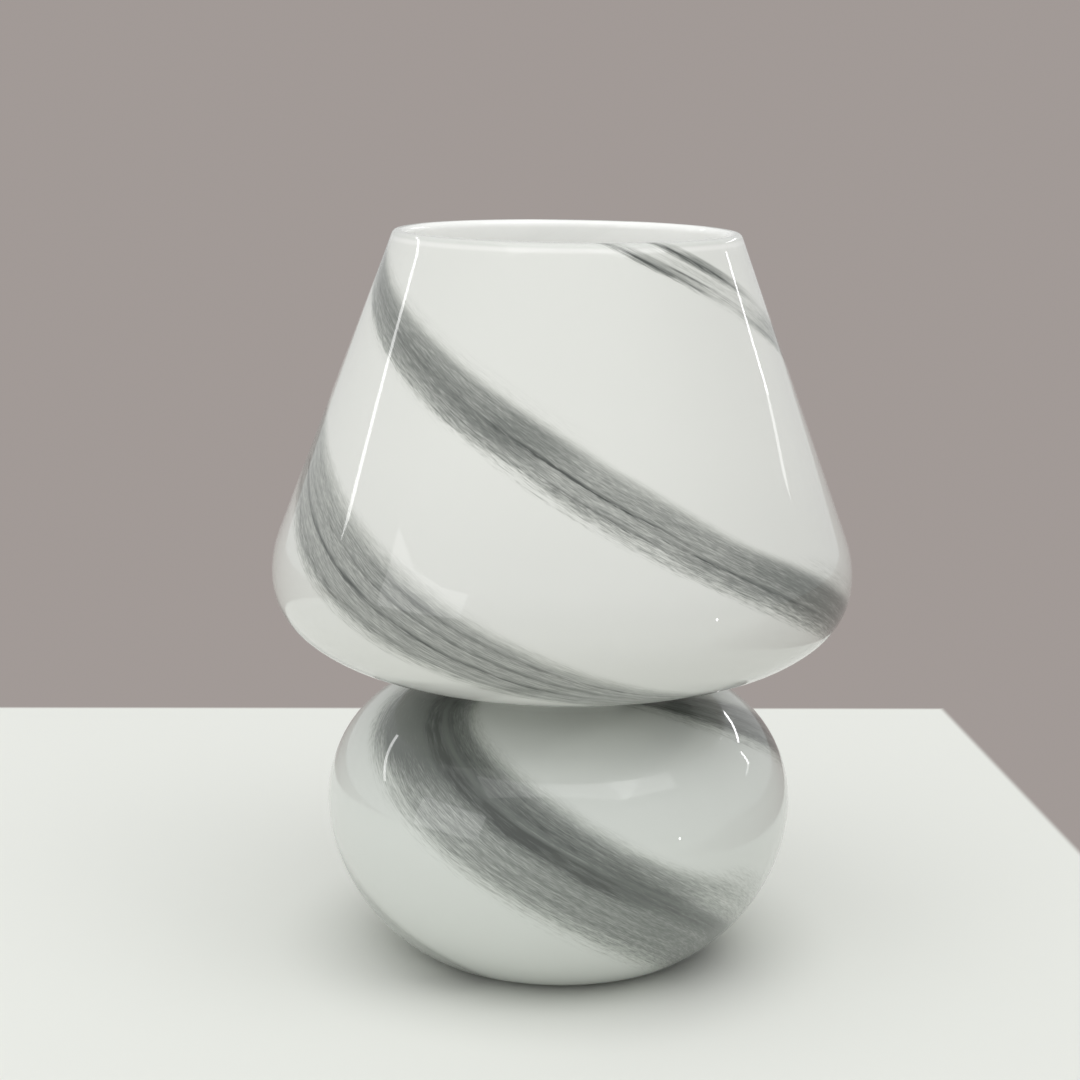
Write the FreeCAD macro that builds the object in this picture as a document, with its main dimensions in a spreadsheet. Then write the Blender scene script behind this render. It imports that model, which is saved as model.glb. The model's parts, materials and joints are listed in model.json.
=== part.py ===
import FreeCAD, Part

import math
import os
import re

import Sketcher

# A mushroom table lamp: one mouth-blown glass body with a lampholder and a bulb on a threaded stem inside it.
# Millimetres. +Z is up, the origin is the middle of the lamp's foot on the table, and -Y is the lamp's front.

SIZES = {
    # glass body
    "lamp_height": 263.5,
    "glass_wall": 4.5,
    "lip_round": 2.1,
    "shade_radius": 105.0,
    "shade_slope": 20.8,
    "shade_turn_curve": 40.8,
    "shade_shoulder_curve": 25.9,
    "shade_shoulder_span": 50.0,
    "shade_under_curve": 50.2,
    "neck_radius": 38.0,
    "neck_groove_curve": 4.7,
    "base_radius": 85.3,
    "base_widest_height": 55.8,
    "base_top_curve": 44.2,
    "base_side_curve": 40.0,
    "base_side_span": 5.2,
    "base_heel_curve": 13.0,
    "foot_radius": 49.0,
    "foot_ring_width": 8.0,
    "foot_roll_curve": 8.0,
    "push_up_height": 11.0,
    "push_up_seat_radius": 17.0,
    # foot pads
    "pad_thickness": 1.2,
    "pad_radius": 3.8,
    "pad_count": 4,
    # cord inlet, low on the back
    "inlet_tilt": 36.0,
    "inlet_hole_radius": 6.0,
    "grommet_clearance": 0.1,
    "grommet_bore_radius": 3.6,
    "grommet_flange_radius": 8.5,
    "grommet_flange_thickness": 1.4,
    "grommet_lip_radius": 6.9,
    "grommet_lip_height": 2.2,
    "grommet_seat_gap": 0.6,
    # fasteners that clamp the glass
    "tube_radius": 5.0,
    "tube_bore_radius": 3.7,
    "tube_hole_clearance": 0.5,
    "thread_clearance": 0.05,
    "tube_overrun": 1.5,
    "gasket_radius": 16.0,
    "gasket_thickness": 1.5,
    "washer_radius": 15.0,
    "washer_thickness": 1.2,
    "nut_across_flats": 14.0,
    "nut_height": 4.0,
    "lock_nut_height": 3.0,
    # dished flange and stem that carry the lampholder
    "flange_radius": 16.0,
    "flange_sheet": 1.2,
    "flange_rise": 3.0,
    "flange_crown_radius": 9.5,
    "flange_rim_width": 4.0,
    "stem_radius": 8.0,
    "stem_length": 26.0,
    "stem_chamber_radius": 6.2,
    "stem_chamfer": 0.8,
    "tube_engagement": 8.0,
    "stem_hole_radius": 3.9,
    "bushing_wall": 0.6,
    "bushing_flange_radius": 5.2,
    "bushing_flange_thickness": 0.8,
    "bushing_clearance": 0.05,
    # lampholder
    "holder_radius": 19.5,
    "holder_wall": 2.0,
    "holder_bottom_round": 5.0,
    "cap_height": 17.0,
    "cap_boss_radius": 8.2,
    "cap_boss_height": 10.0,
    "spigot_height": 5.0,
    "spigot_clearance": 0.15,
    "lock_screw_radius": 1.5,
    "lock_screw_height": 6.0,
    "carrier_flange_height": 2.0,
    "carrier_clearance": 0.2,
    "shell_radius": 13.4,
    "shell_sheet": 0.45,
    "shell_height": 21.0,
    "shell_flange_width": 0.9,
    "sleeve_clearance": 0.2,
    "sleeve_wall": 1.6,
    "skirt_lip_height": 2.5,
    "skirt_round": 1.2,
    "terminal_offset": 8.0,
    "terminal_length": 6.0,
    "terminal_depth": 7.0,
    "terminal_height": 6.5,
    "terminal_wire_radius": 1.3,
    "terminal_screw_radius": 1.3,
    "terminal_screw_head_radius": 2.3,
    "terminal_screw_head_height": 1.4,
    "terminal_screw_length": 2.4,
    "rivet_radius": 1.2,
    "rivet_clearance": 0.1,
    "contact_width": 5.0,
    "contact_sheet": 0.5,
    "contact_spring_height": 3.0,
    "side_contact_reach": 12.6,
    "side_contact_height": 4.5,
    # bulb
    "contact_gap": 0.3,
    "bulb_cap_radius": 13.1,
    "bulb_cap_sheet": 0.35,
    "bulb_cap_top": 27.0,
    "tip_radius": 4.6,
    "tip_height": 1.2,
    "tip_shank_radius": 2.4,
    "tip_shank_height": 2.0,
    "insulator_foot_radius": 6.2,
    "insulator_radius": 11.4,
    "insulator_height": 6.0,
    "insulator_plug_height": 2.0,
    "bulb_fit_clearance": 0.1,
    "bulb_neck_depth": 14.0,
    "bulb_neck_radius": 14.2,
    "bulb_flare_curve": 90.0,
    "bulb_wall": 1.5,
    "globe_radius": 30.0,
    "globe_height": 106.0,
    "globe_seat_drop": 14.0,
    "led_board_radius": 22.5,
    "led_board_thickness": 1.6,
    "led_chip_side": 3.0,
    "led_chip_height": 0.7,
    "led_circle_radius": 15.0,
    "led_count": 10,
    "driver_length": 28.0,
    "driver_board_thickness": 1.6,
    "capacitor_radius": 4.0,
    "capacitor_length": 12.0,
}

# Heights of the seats, bottom to top, worked out from the sizes above.
GLASS_UNDERSIDE = "(pad_thickness + push_up_height)"
GLASS_FLOOR = f"({GLASS_UNDERSIDE} + glass_wall)"
WASHER_TOP = f"({GLASS_UNDERSIDE} - gasket_thickness)"
NUT_TOP = f"({WASHER_TOP} - washer_thickness)"
NUT_UNDERSIDE = f"({NUT_TOP} - nut_height)"
LOWER_TUBE_END = f"({NUT_UNDERSIDE} - tube_overrun)"
FLANGE_SEAT = f"({GLASS_FLOOR} + gasket_thickness)"
STEM_FOOT = f"({FLANGE_SEAT} + flange_rise + flange_sheet)"
STEM_MIDDLE = f"({STEM_FOOT} + stem_length / 2)"
STEM_TOP = f"({STEM_FOOT} + stem_length)"
HOLDER_FOOT = f"({STEM_TOP} + lock_nut_height)"
CAP_TOP = f"({HOLDER_FOOT} + cap_height)"
SPIGOT_TOP = f"({CAP_TOP} + spigot_height)"
CARRIER_TOP = f"({SPIGOT_TOP} + carrier_flange_height)"
HOLDER_TOP = f"({CARRIER_TOP} + shell_height + skirt_lip_height)"
BULB_TIP = f"({CARRIER_TOP} + contact_spring_height + contact_gap)"
INSULATOR_FOOT = f"({BULB_TIP} + tip_height)"
BULB_CAP_FOOT = f"({BULB_TIP} + insulator_height)"
BULB_CAP_RIM = f"({BULB_TIP} + bulb_cap_top)"
GLOBE_CENTRE = f"({BULB_TIP} + globe_height - globe_radius)"
GLOBE_SEAT = f"({GLOBE_CENTRE} - globe_seat_drop)"
GLOBE_SEAT_RADIUS = "sqrt(globe_radius ^ 2 - globe_seat_drop ^ 2)"

# The base's low curve touches the end of its side curve and the heel curve, and that gives its radius.
ACROSS = "(base_radius - base_side_curve * (1 - cos(base_side_span)) - foot_radius)"
UP = "(base_widest_height - base_side_curve * sin(base_side_span) - pad_thickness - base_heel_curve)"
FACING = f"({ACROSS} * cos(base_side_span) - {UP} * sin(base_side_span))"
LOW_CURVE = f"(({ACROSS} ^ 2 + {UP} ^ 2 - base_heel_curve ^ 2) / (2 * ({FACING} - base_heel_curve)))"

THREADED_BORE = "(tube_radius + thread_clearance)"
CLEARANCE_HOLE = "(tube_radius + tube_hole_clearance)"

# Sketcher's own codes: a curve's start, end and centre, and a sketch's origin and axes.
START, END, CENTRE = range(1, 4)
SKETCH_Y, SKETCH_X = range(-2, 0)
ORIGIN = SKETCH_X

doc = FreeCAD.newDocument("MushroomTableLamp")
sheet = doc.addObject("Spreadsheet::Sheet", "Sizes")
for row, (alias, amount) in enumerate(SIZES.items(), start=1):
    sheet.set(f"A{row}", alias)
    sheet.set(f"B{row}", str(amount))
    sheet.setAlias(f"B{row}", alias)
doc.recompute()

nodes = []


def tied(formula):
    """A formula in size names, as an expression that reads the sheet."""
    return re.sub(r"[a-z]\w+", lambda word: f"Sizes.{word[0]}" if word[0] in SIZES else word[0], formula)


def number(formula):
    """What a formula in size names comes to."""
    value = sheet.evalExpression(tied(formula))
    return float(getattr(value, "Value", value))


def bind(thing, name, formula):
    thing.setExpression(name, tied(formula))


def vector(x, y, z=0.0):
    return FreeCAD.Vector(x, y, z)


def new_body(name):
    body = doc.addObject("PartDesign::Body", name)
    body.Label = name
    nodes.append(body)
    return body


def origin_plane(body, role):
    return next(feature for feature in body.Origin.OriginFeatures if feature.Role == role)


def new_sketch(body, name, plane="XY_Plane", lift=None):
    """A sketch on one of a body's own planes, lifted along the plane's normal."""
    sketch = body.newObject("Sketcher::SketchObject", name)
    sketch.AttachmentSupport = [(origin_plane(body, plane), "")]
    sketch.MapMode = "FlatFace"
    if lift:
        bind(sketch, "AttachmentOffset.Base.z", lift)
    return sketch


def dimension(sketch, kind, *where, formula):
    """Adds a dimension to a sketch and ties it to the sheet."""
    index = sketch.addConstraint(Sketcher.Constraint(kind, *where, number(formula)))
    bind(sketch, f"Constraints[{index}]", formula)


def place_point(sketch, edge, end, x, y):
    """Places an edge's end from the sketch's origin, or on an axis where a distance is 0."""
    for kind, axis, formula in (("DistanceX", SKETCH_Y, x), ("DistanceY", SKETCH_X, y)):
        if formula == "0":
            sketch.addConstraint(Sketcher.Constraint("PointOnObject", edge, end, axis))
        else:
            dimension(sketch, kind, ORIGIN, 1, edge, end, formula=formula)


def circle(sketch, radius, x="0", y="0"):
    middle = vector(number(x), number(y))
    edge = sketch.addGeometry(Part.Circle(middle, vector(0, 0, 1), number(radius)))
    place_point(sketch, edge, CENTRE, x, y)
    dimension(sketch, "Radius", edge, formula=radius)


def arc_between(start, end, radius):
    """The short arc from start to end, turning left for a positive radius and right for a negative one."""
    chord = end - start
    left = vector(-chord.y, chord.x).normalize()
    reach = math.sqrt(radius**2 - (chord.Length / 2) ** 2)
    centre = start + chord * 0.5 + left * math.copysign(reach, radius)
    first, last = (start, end) if radius > 0 else (end, start)
    angles = [math.atan2(point.y - centre.y, point.x - centre.x) for point in (first, last)]
    return Part.ArcOfCircle(Part.Circle(centre, vector(0, 0, 1), abs(radius)), *angles)


def outline(sketch, corners):
    """A closed outline. Each corner is (x, y), or (x, y, radius, turn) where an arc leads to it."""
    points = [vector(number(corner[0]), number(corner[1])) for corner in corners]
    edges = []
    for i, corner in enumerate(corners):
        before = points[i - 1]
        if len(corner) == 2:
            edges.append((sketch.addGeometry(Part.LineSegment(before, points[i])), START, END))
            continue
        radius, turn = corner[2:]
        edge = sketch.addGeometry(arc_between(before, points[i], turn * number(radius)))
        edges.append((edge, START, END) if turn > 0 else (edge, END, START))
    for (edge, start, end), (following, its_start, its_end) in zip(edges, edges[1:] + edges[:1]):
        sketch.addConstraint(Sketcher.Constraint("Coincident", edge, end, following, its_start))
    for (edge, start, end), corner in zip(edges, corners):
        place_point(sketch, edge, end, corner[0], corner[1])
        if len(corner) > 2:
            dimension(sketch, "Radius", edge, formula=corner[2])


def revolve(body, sketch, name, kind="PartDesign::Revolution"):
    feature = body.newObject(kind, name)
    feature.Profile = sketch
    feature.ReferenceAxis = (sketch, ["V_Axis"])
    feature.Angle = 360.0
    sketch.Visibility = False
    return feature


def extrude(body, sketch, name, length, kind="PartDesign::Pad", both_ways=False):
    feature = body.newObject(kind, name)
    feature.Profile = sketch
    if both_ways:
        feature.SideType = "Symmetric"
    bind(feature, "Length", length)
    return feature


def drill_across(body, name, radius, height, length, turned_round=False):
    """A level hole along Y at a given height, from the middle of the body outwards."""
    sketch = new_sketch(body, f"{name}Sketch", "XZ_Plane")
    circle(sketch, radius, "0", height)
    hole = extrude(body, sketch, name, length, "PartDesign::Pocket")
    hole.Reversed = turned_round
    return hole


def round_rims(body, name, rims, radius, kind="PartDesign::Fillet", cell="Radius"):
    """Rounds or chamfers the circular edges that lie at the given radii and heights."""
    doc.recompute()
    base = body.Tip
    places = [(number(r), number(height)) for r, height in rims]
    edges = []
    for index, edge in enumerate(base.Shape.Edges, start=1):
        if not isinstance(edge.Curve, Part.Circle):
            continue
        centre = edge.Curve.Center
        for r, height in places:
            if abs(edge.Curve.Radius - r) < 1e-4 and abs(centre.z - height) < 1e-4 and abs(centre.x) < 1e-4:
                edges.append(f"Edge{index}")
    feature = body.newObject(kind, name)
    feature.Base = (base, edges)
    bind(feature, cell, radius)
    return feature


def ring(name, radius, bore, bottom, height):
    """A flat ring round the lamp's axis."""
    body = new_body(name)
    sketch = new_sketch(body, f"{name}_section", lift=bottom)
    circle(sketch, radius)
    circle(sketch, bore)
    extrude(body, sketch, f"{name}_pad", height)
    return body


def turned(name, corners):
    """A piece turned round the lamp's axis, from its half section."""
    body = new_body(name)
    sketch = new_sketch(body, f"{name}_section", "XZ_Plane")
    outline(sketch, corners)
    revolve(body, sketch, f"{name}_turning")
    return body


def hex_nut(name, bottom, height):
    prism = doc.addObject("Part::Prism", f"{name}_prism")
    prism.Polygon = 6
    bind(prism, "Circumradius", "nut_across_flats / sqrt(3)")
    bind(prism, "Height", height)
    bore = doc.addObject("Part::Cylinder", f"{name}_bore")
    bind(bore, "Radius", THREADED_BORE)
    bind(bore, "Height", height)
    for piece in (prism, bore):
        bind(piece, "Placement.Base.z", bottom)
    nut = doc.addObject("Part::Cut", name)
    nut.Base = prism
    nut.Tool = bore
    nut.Label = name
    nodes.append(nut)


def repeat_round(body, feature, count):
    """Copies a feature evenly round the lamp's axis."""
    pattern = body.newObject("PartDesign::PolarPattern", f"{body.Name}_pattern")
    pattern.Originals = [feature]
    pattern.Axis = (origin_plane(body, "Z_Axis"), [""])
    pattern.Angle = 360
    bind(pattern, "Occurrences", count)
    body.Tip = pattern


def mirror_across(body, features, plane):
    mirrored = body.newObject("PartDesign::Mirrored", f"{body.Name}_mirror")
    mirrored.Originals = features
    mirrored.MirrorPlane = (origin_plane(body, plane), [""])
    body.Tip = mirrored


def direction(degrees):
    """A unit vector in the half section, by its angle above the level."""
    return vector(math.cos(math.radians(degrees)), math.sin(math.radians(degrees)))


def angle_of(arrow):
    return math.degrees(math.atan2(arrow.y, arrow.x))


def low_curve_centre():
    """Centre of the base's low curve, in line with the side curve's centre and its lower end."""
    side = vector(number("base_radius - base_side_curve"), number("base_widest_height"))
    return side - direction(-number("base_side_span")) * number(f"{LOW_CURVE} - base_side_curve")


def glass_profile(body, name, inset, top):
    """Half section of the glass, inset from its outer face: arcs and lines from the axis to the rim."""
    sketch = new_sketch(body, name, "XZ_Plane")
    depth = number(inset)
    floor = number(f"pad_thickness + {inset}")
    seat = number(f"{GLASS_UNDERSIDE} + {inset}")
    seat_radius = number("push_up_seat_radius")
    ring_inner = number("foot_radius - foot_ring_width")
    roll = number("foot_roll_curve")
    run = ring_inner - seat_radius
    lean = math.degrees(2 * math.atan2(number("push_up_height"), run))
    push_up = run / math.sin(math.radians(lean)) - roll
    roll_centre = vector(ring_inner, number("pad_thickness") + roll)
    push_up_centre = vector(seat_radius, number(GLASS_UNDERSIDE) - push_up)

    heel_centre = vector(number("foot_radius"), number("pad_thickness + base_heel_curve"))
    low_centre = low_curve_centre()
    widest = number("base_widest_height")
    side_centre = vector(number("base_radius - base_side_curve"), widest)
    top_centre = vector(number("base_radius - base_top_curve"), widest)
    groove_x = number("neck_radius + neck_groove_curve")
    groove_reach = number("base_top_curve + neck_groove_curve")
    groove_rise = math.sqrt(groove_reach**2 - (groove_x - top_centre.x) ** 2)
    groove_centre = vector(groove_x, widest + groove_rise)

    under_height = groove_centre.y + number("neck_groove_curve")
    span = number("shade_shoulder_span")
    slope = number("shade_slope")
    shoulder_x = number("shade_radius - shade_shoulder_curve")
    to_shoulder = direction(-span) * number("shade_under_curve - shade_shoulder_curve")
    under_centre = vector(shoulder_x - to_shoulder.x, under_height + number("shade_under_curve"))
    shoulder_centre = vector(shoulder_x, under_centre.y + to_shoulder.y)
    turn_centre = vector(number("shade_radius - shade_turn_curve"), shoulder_centre.y)
    cone_start = turn_centre + direction(slope) * (number("shade_turn_curve") - depth)
    rise = number(top) - cone_start.y
    rim = cone_start + vector(-rise * math.tan(math.radians(slope)), rise)

    def line(start, end):
        return sketch.addGeometry(Part.LineSegment(start, end))

    def arc(centre, radius, first, last):
        turn = Part.Circle(centre, vector(0, 0, 1), radius)
        return sketch.addGeometry(Part.ArcOfCircle(turn, math.radians(first), math.radians(last)))

    low_start = angle_of(heel_centre - low_centre)
    low_end = -number("base_side_span")
    crown = angle_of(groove_centre - top_centre)
    groove_top = vector(groove_x, under_height + depth)
    under_start = vector(under_centre.x, under_height + depth)

    seat_line = line(vector(0, seat), vector(seat_radius, seat))
    push_up_arc = arc(push_up_centre, push_up + depth, 90 - lean, 90)
    roll_arc = arc(roll_centre, roll - depth, -90 - lean, -90)
    foot_line = line(vector(ring_inner, floor), vector(number("foot_radius"), floor))
    heel_arc = arc(heel_centre, number("base_heel_curve") - depth, -90, low_start)
    low_arc = arc(low_centre, number(LOW_CURVE) - depth, low_start, low_end)
    side_arc = arc(side_centre, number("base_side_curve") - depth, low_end, 0)
    top_arc = arc(top_centre, number("base_top_curve") - depth, 0, crown)
    groove_arc = arc(groove_centre, number("neck_groove_curve") + depth, 90, crown + 180)
    under_line = line(groove_top, under_start)
    under_arc = arc(under_centre, number("shade_under_curve") - depth, -90, -span)
    shoulder_arc = arc(shoulder_centre, number("shade_shoulder_curve") - depth, -span, 0)
    turn_arc = arc(turn_centre, number("shade_turn_curve") - depth, 0, slope)
    cone_line = line(cone_start, rim)
    top_line = line(rim, vector(0, rim.y))
    axis_line = line(vector(0, rim.y), vector(0, seat))

    smooth_joints = (
        (seat_line, END, push_up_arc, END),
        (push_up_arc, START, roll_arc, START),
        (roll_arc, END, foot_line, START),
        (foot_line, END, heel_arc, START),
        (heel_arc, END, low_arc, START),
        (low_arc, END, side_arc, START),
        (side_arc, END, top_arc, START),
        (top_arc, END, groove_arc, END),
        (groove_arc, START, under_line, START),
        (under_line, END, under_arc, START),
        (under_arc, END, shoulder_arc, START),
        (shoulder_arc, END, turn_arc, START),
        (turn_arc, END, cone_line, START),
    )
    corners = (
        (cone_line, END, top_line, START),
        (top_line, END, axis_line, START),
        (axis_line, END, seat_line, START),
    )
    rules = [Sketcher.Constraint("Tangent", *joint) for joint in smooth_joints]
    rules += [Sketcher.Constraint("Coincident", *corner) for corner in corners]
    level_lines = (seat_line, foot_line, under_line, top_line)
    rules += [Sketcher.Constraint("Horizontal", edge) for edge in level_lines]
    rules.append(Sketcher.Constraint("Vertical", axis_line))
    rules.append(Sketcher.Constraint("PointOnObject", axis_line, START, SKETCH_Y))
    rules.append(Sketcher.Constraint("Horizontal", side_arc, CENTRE, side_arc, END))
    rules.append(Sketcher.Constraint("Horizontal", shoulder_arc, CENTRE, shoulder_arc, END))
    sketch.addConstraint(rules)

    bulging = {
        roll_arc: "foot_roll_curve",
        heel_arc: "base_heel_curve",
        side_arc: "base_side_curve",
        top_arc: "base_top_curve",
        under_arc: "shade_under_curve",
        shoulder_arc: "shade_shoulder_curve",
        turn_arc: "shade_turn_curve",
    }
    for edge, radius in bulging.items():
        dimension(sketch, "Radius", edge, formula=f"{radius} - {inset}")
    dimension(sketch, "Radius", groove_arc, formula=f"neck_groove_curve + {inset}")
    dimension(sketch, "Angle", side_arc, formula="base_side_span")
    dimension(sketch, "Angle", shoulder_arc, formula="shade_shoulder_span")
    dimension(sketch, "Angle", turn_arc, formula="shade_slope")
    across = (
        (seat_line, END, "push_up_seat_radius"),
        (foot_line, START, "foot_radius - foot_ring_width"),
        (foot_line, END, "foot_radius"),
        (side_arc, END, f"base_radius - {inset}"),
        (groove_arc, CENTRE, "neck_radius + neck_groove_curve"),
        (shoulder_arc, END, f"shade_radius - {inset}"),
    )
    for edge, end, formula in across:
        dimension(sketch, "DistanceX", ORIGIN, 1, edge, end, formula=formula)
    upward = (
        (seat_line, END, f"{GLASS_UNDERSIDE} + {inset}"),
        (foot_line, END, f"pad_thickness + {inset}"),
        (side_arc, END, "base_widest_height"),
        (top_line, END, top),
    )
    for edge, end, formula in upward:
        dimension(sketch, "DistanceY", ORIGIN, 1, edge, end, formula=formula)
    return sketch


def make_glass_body():
    """The blown glass: a solid of revolution, hollowed to an even wall and open at the top."""
    body = new_body("glass_body")
    revolve(body, glass_profile(body, "OuterFace", "0", "lamp_height"), "Blown")
    hollow = glass_profile(body, "InnerFace", "glass_wall", "lamp_height + glass_wall")
    revolve(body, hollow, "Hollow", "PartDesign::Groove")
    doc.recompute()

    base = body.Tip
    height = number("lamp_height")
    rim = []
    for index, edge in enumerate(base.Shape.Edges, start=1):
        if abs(edge.BoundBox.ZMin - height) < 1e-4:
            rim.append(f"Edge{index}")
    lip = body.newObject("PartDesign::Fillet", "Lip")
    lip.Base = (base, rim)
    bind(lip, "Radius", "min(lip_round; glass_wall * 0.46)")

    clamp_hole = new_sketch(body, "ClampHole", lift=GLASS_FLOOR)
    circle(clamp_hole, CLEARANCE_HOLE)
    extrude(body, clamp_hole, "ClampDrilling", "2 * glass_wall", "PartDesign::Pocket")

    inlet = new_sketch(body, "InletHole", "XZ_Plane")
    centre = low_curve_centre()
    tilt = number("inlet_tilt")
    lean = FreeCAD.Rotation(vector(1, 0, 0), -tilt)
    inlet.AttachmentOffset = FreeCAD.Placement(vector(0, centre.y, -centre.x), lean)
    circle(inlet, "inlet_hole_radius")
    drilling = extrude(body, inlet, "InletDrilling", f"{LOW_CURVE} + glass_wall", "PartDesign::Pocket")
    body.Tip = drilling


def make_foot_pads():
    """Thin clear bumpers that stand the ground foot ring off the table."""
    body = new_body("foot_pads")
    body.AllowCompound = True
    sketch = new_sketch(body, "PadSection")
    ring_middle = "(foot_radius - foot_ring_width / 2)"
    circle(sketch, "pad_radius", f"{ring_middle} * cos(45)", f"{ring_middle} * sin(45)")
    pad = extrude(body, sketch, "FirstPad", "pad_thickness")
    repeat_round(body, pad, "pad_count")


def make_cord_grommet():
    """Soft sleeve in the inlet hole, square to the glass, with a flange outside and a snap lip inside."""
    face = LOW_CURVE
    inside = f"({LOW_CURVE} - glass_wall - grommet_seat_gap)"
    sleeve = "(inlet_hole_radius - grommet_clearance)"
    body = turned(
        "cord_grommet",
        (
            ("grommet_bore_radius", f"{inside} - grommet_lip_height"),
            (sleeve, f"{inside} - grommet_lip_height"),
            ("grommet_lip_radius", inside),
            (sleeve, inside),
            (sleeve, face),
            ("grommet_flange_radius", face),
            ("grommet_flange_radius", f"{face} + grommet_flange_thickness"),
            ("grommet_bore_radius", f"{face} + grommet_flange_thickness"),
        ),
    )
    rim = [("grommet_flange_radius", f"{face} + grommet_flange_thickness")]
    round_rims(body, "FlangeEdge", rim, "grommet_flange_thickness / 2")
    centre = low_curve_centre()
    lean = FreeCAD.Rotation(vector(1, 0, 0), -90 - number("inlet_tilt"))
    body.Placement = FreeCAD.Placement(vector(0, centre.x, centre.y), lean)


def make_clamp_stack():
    """What pinches the glass bottom: tube, nut, washer and soft gaskets, with the dished flange above."""
    ring("lower_gasket", "gasket_radius", CLEARANCE_HOLE, WASHER_TOP, "gasket_thickness")
    ring("clamp_washer", "washer_radius", CLEARANCE_HOLE, NUT_TOP, "washer_thickness")
    hex_nut("lower_nut", NUT_UNDERSIDE, "nut_height")
    length = f"{STEM_FOOT} + tube_engagement - {LOWER_TUBE_END}"
    ring("lower_tube", "tube_radius", "tube_bore_radius", LOWER_TUBE_END, length)
    ring("upper_gasket", "gasket_radius", CLEARANCE_HOLE, GLASS_FLOOR, "gasket_thickness")
    crown = f"({FLANGE_SEAT} + flange_rise)"
    rim_inner = "(flange_radius - flange_rim_width)"
    turned(
        "support_flange",
        (
            (rim_inner, FLANGE_SEAT),
            ("flange_radius", FLANGE_SEAT),
            ("flange_radius", f"{FLANGE_SEAT} + flange_sheet"),
            (rim_inner, f"{FLANGE_SEAT} + flange_sheet"),
            ("flange_crown_radius", f"{crown} + flange_sheet"),
            (CLEARANCE_HOLE, f"{crown} + flange_sheet"),
            (CLEARANCE_HOLE, crown),
            ("flange_crown_radius", crown),
        ),
    )


def make_stem():
    """Turned brass stem: a thread at each end, a chamber between them and a side hole for the cord."""
    lower_chamber = f"({STEM_FOOT} + tube_engagement + stem_chamfer)"
    upper_chamber = f"({STEM_TOP} - tube_engagement - stem_chamfer)"
    body = turned(
        "stem",
        (
            (THREADED_BORE, STEM_FOOT),
            ("stem_radius", STEM_FOOT),
            ("stem_radius", STEM_TOP),
            (THREADED_BORE, STEM_TOP),
            (THREADED_BORE, upper_chamber),
            ("stem_chamber_radius", upper_chamber),
            ("stem_chamber_radius", lower_chamber),
            (THREADED_BORE, lower_chamber),
        ),
    )
    rims = [("stem_radius", STEM_FOOT), ("stem_radius", STEM_TOP)]
    round_rims(body, "EndChamfers", rims, "stem_chamfer", "PartDesign::Chamfer", "Size")
    drill_across(body, "CordHole", "stem_hole_radius", STEM_MIDDLE, "stem_radius * 2")

    bushing = new_body("stem_bushing")
    sleeve = "(stem_hole_radius - bushing_clearance)"
    shank = new_sketch(bushing, "Shank", "XZ_Plane", "-(stem_radius + bushing_clearance)")
    circle(shank, sleeve, "0", STEM_MIDDLE)
    circle(shank, f"{sleeve} - bushing_wall", "0", STEM_MIDDLE)
    extrude(bushing, shank, "Sleeve", "stem_radius - stem_chamber_radius")
    collar = new_sketch(bushing, "Collar", "XZ_Plane", "-(stem_radius + bushing_clearance)")
    circle(collar, "bushing_flange_radius", "0", STEM_MIDDLE)
    circle(collar, f"{sleeve} - bushing_wall", "0", STEM_MIDDLE)
    flange = extrude(bushing, collar, "Flange", "bushing_flange_thickness")
    flange.Reversed = True

    hex_nut("stem_nut", STEM_TOP, "lock_nut_height")
    length = "tube_engagement + lock_nut_height + cap_boss_height"
    ring("upper_tube", "tube_radius", "tube_bore_radius", f"{STEM_TOP} - tube_engagement", length)


def make_holder_cap():
    """Lower cup of the lampholder, screwed on the tube and locked by a small screw in its boss."""
    spigot = "(holder_radius - holder_wall - spigot_clearance)"
    cup = f"({spigot} - holder_wall)"
    body = turned(
        "holder_cap",
        (
            (THREADED_BORE, HOLDER_FOOT),
            ("holder_radius", HOLDER_FOOT),
            ("holder_radius", CAP_TOP),
            (spigot, CAP_TOP),
            (spigot, SPIGOT_TOP),
            (cup, SPIGOT_TOP),
            (cup, f"{HOLDER_FOOT} + holder_wall"),
            ("cap_boss_radius", f"{HOLDER_FOOT} + holder_wall"),
            ("cap_boss_radius", f"{HOLDER_FOOT} + cap_boss_height"),
            (THREADED_BORE, f"{HOLDER_FOOT} + cap_boss_height"),
        ),
    )
    round_rims(body, "OuterRound", [("holder_radius", HOLDER_FOOT)], "holder_bottom_round")
    cup_round = "holder_bottom_round - holder_wall"
    round_rims(body, "InnerRound", [(cup, f"{HOLDER_FOOT} + holder_wall")], cup_round)
    height = f"({HOLDER_FOOT} + lock_screw_height)"
    lock_bore = "lock_screw_radius + thread_clearance"
    drill_across(body, "LockHole", lock_bore, height, "cap_boss_radius + holder_wall / 2")

    screw = new_body("cap_lock_screw")
    section = new_sketch(screw, "LockSection", "XZ_Plane", "-(tube_radius + thread_clearance)")
    circle(section, "lock_screw_radius", "0", height)
    shank = extrude(screw, section, "LockShank", "cap_boss_radius - tube_radius")
    shank.Reversed = True


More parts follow.
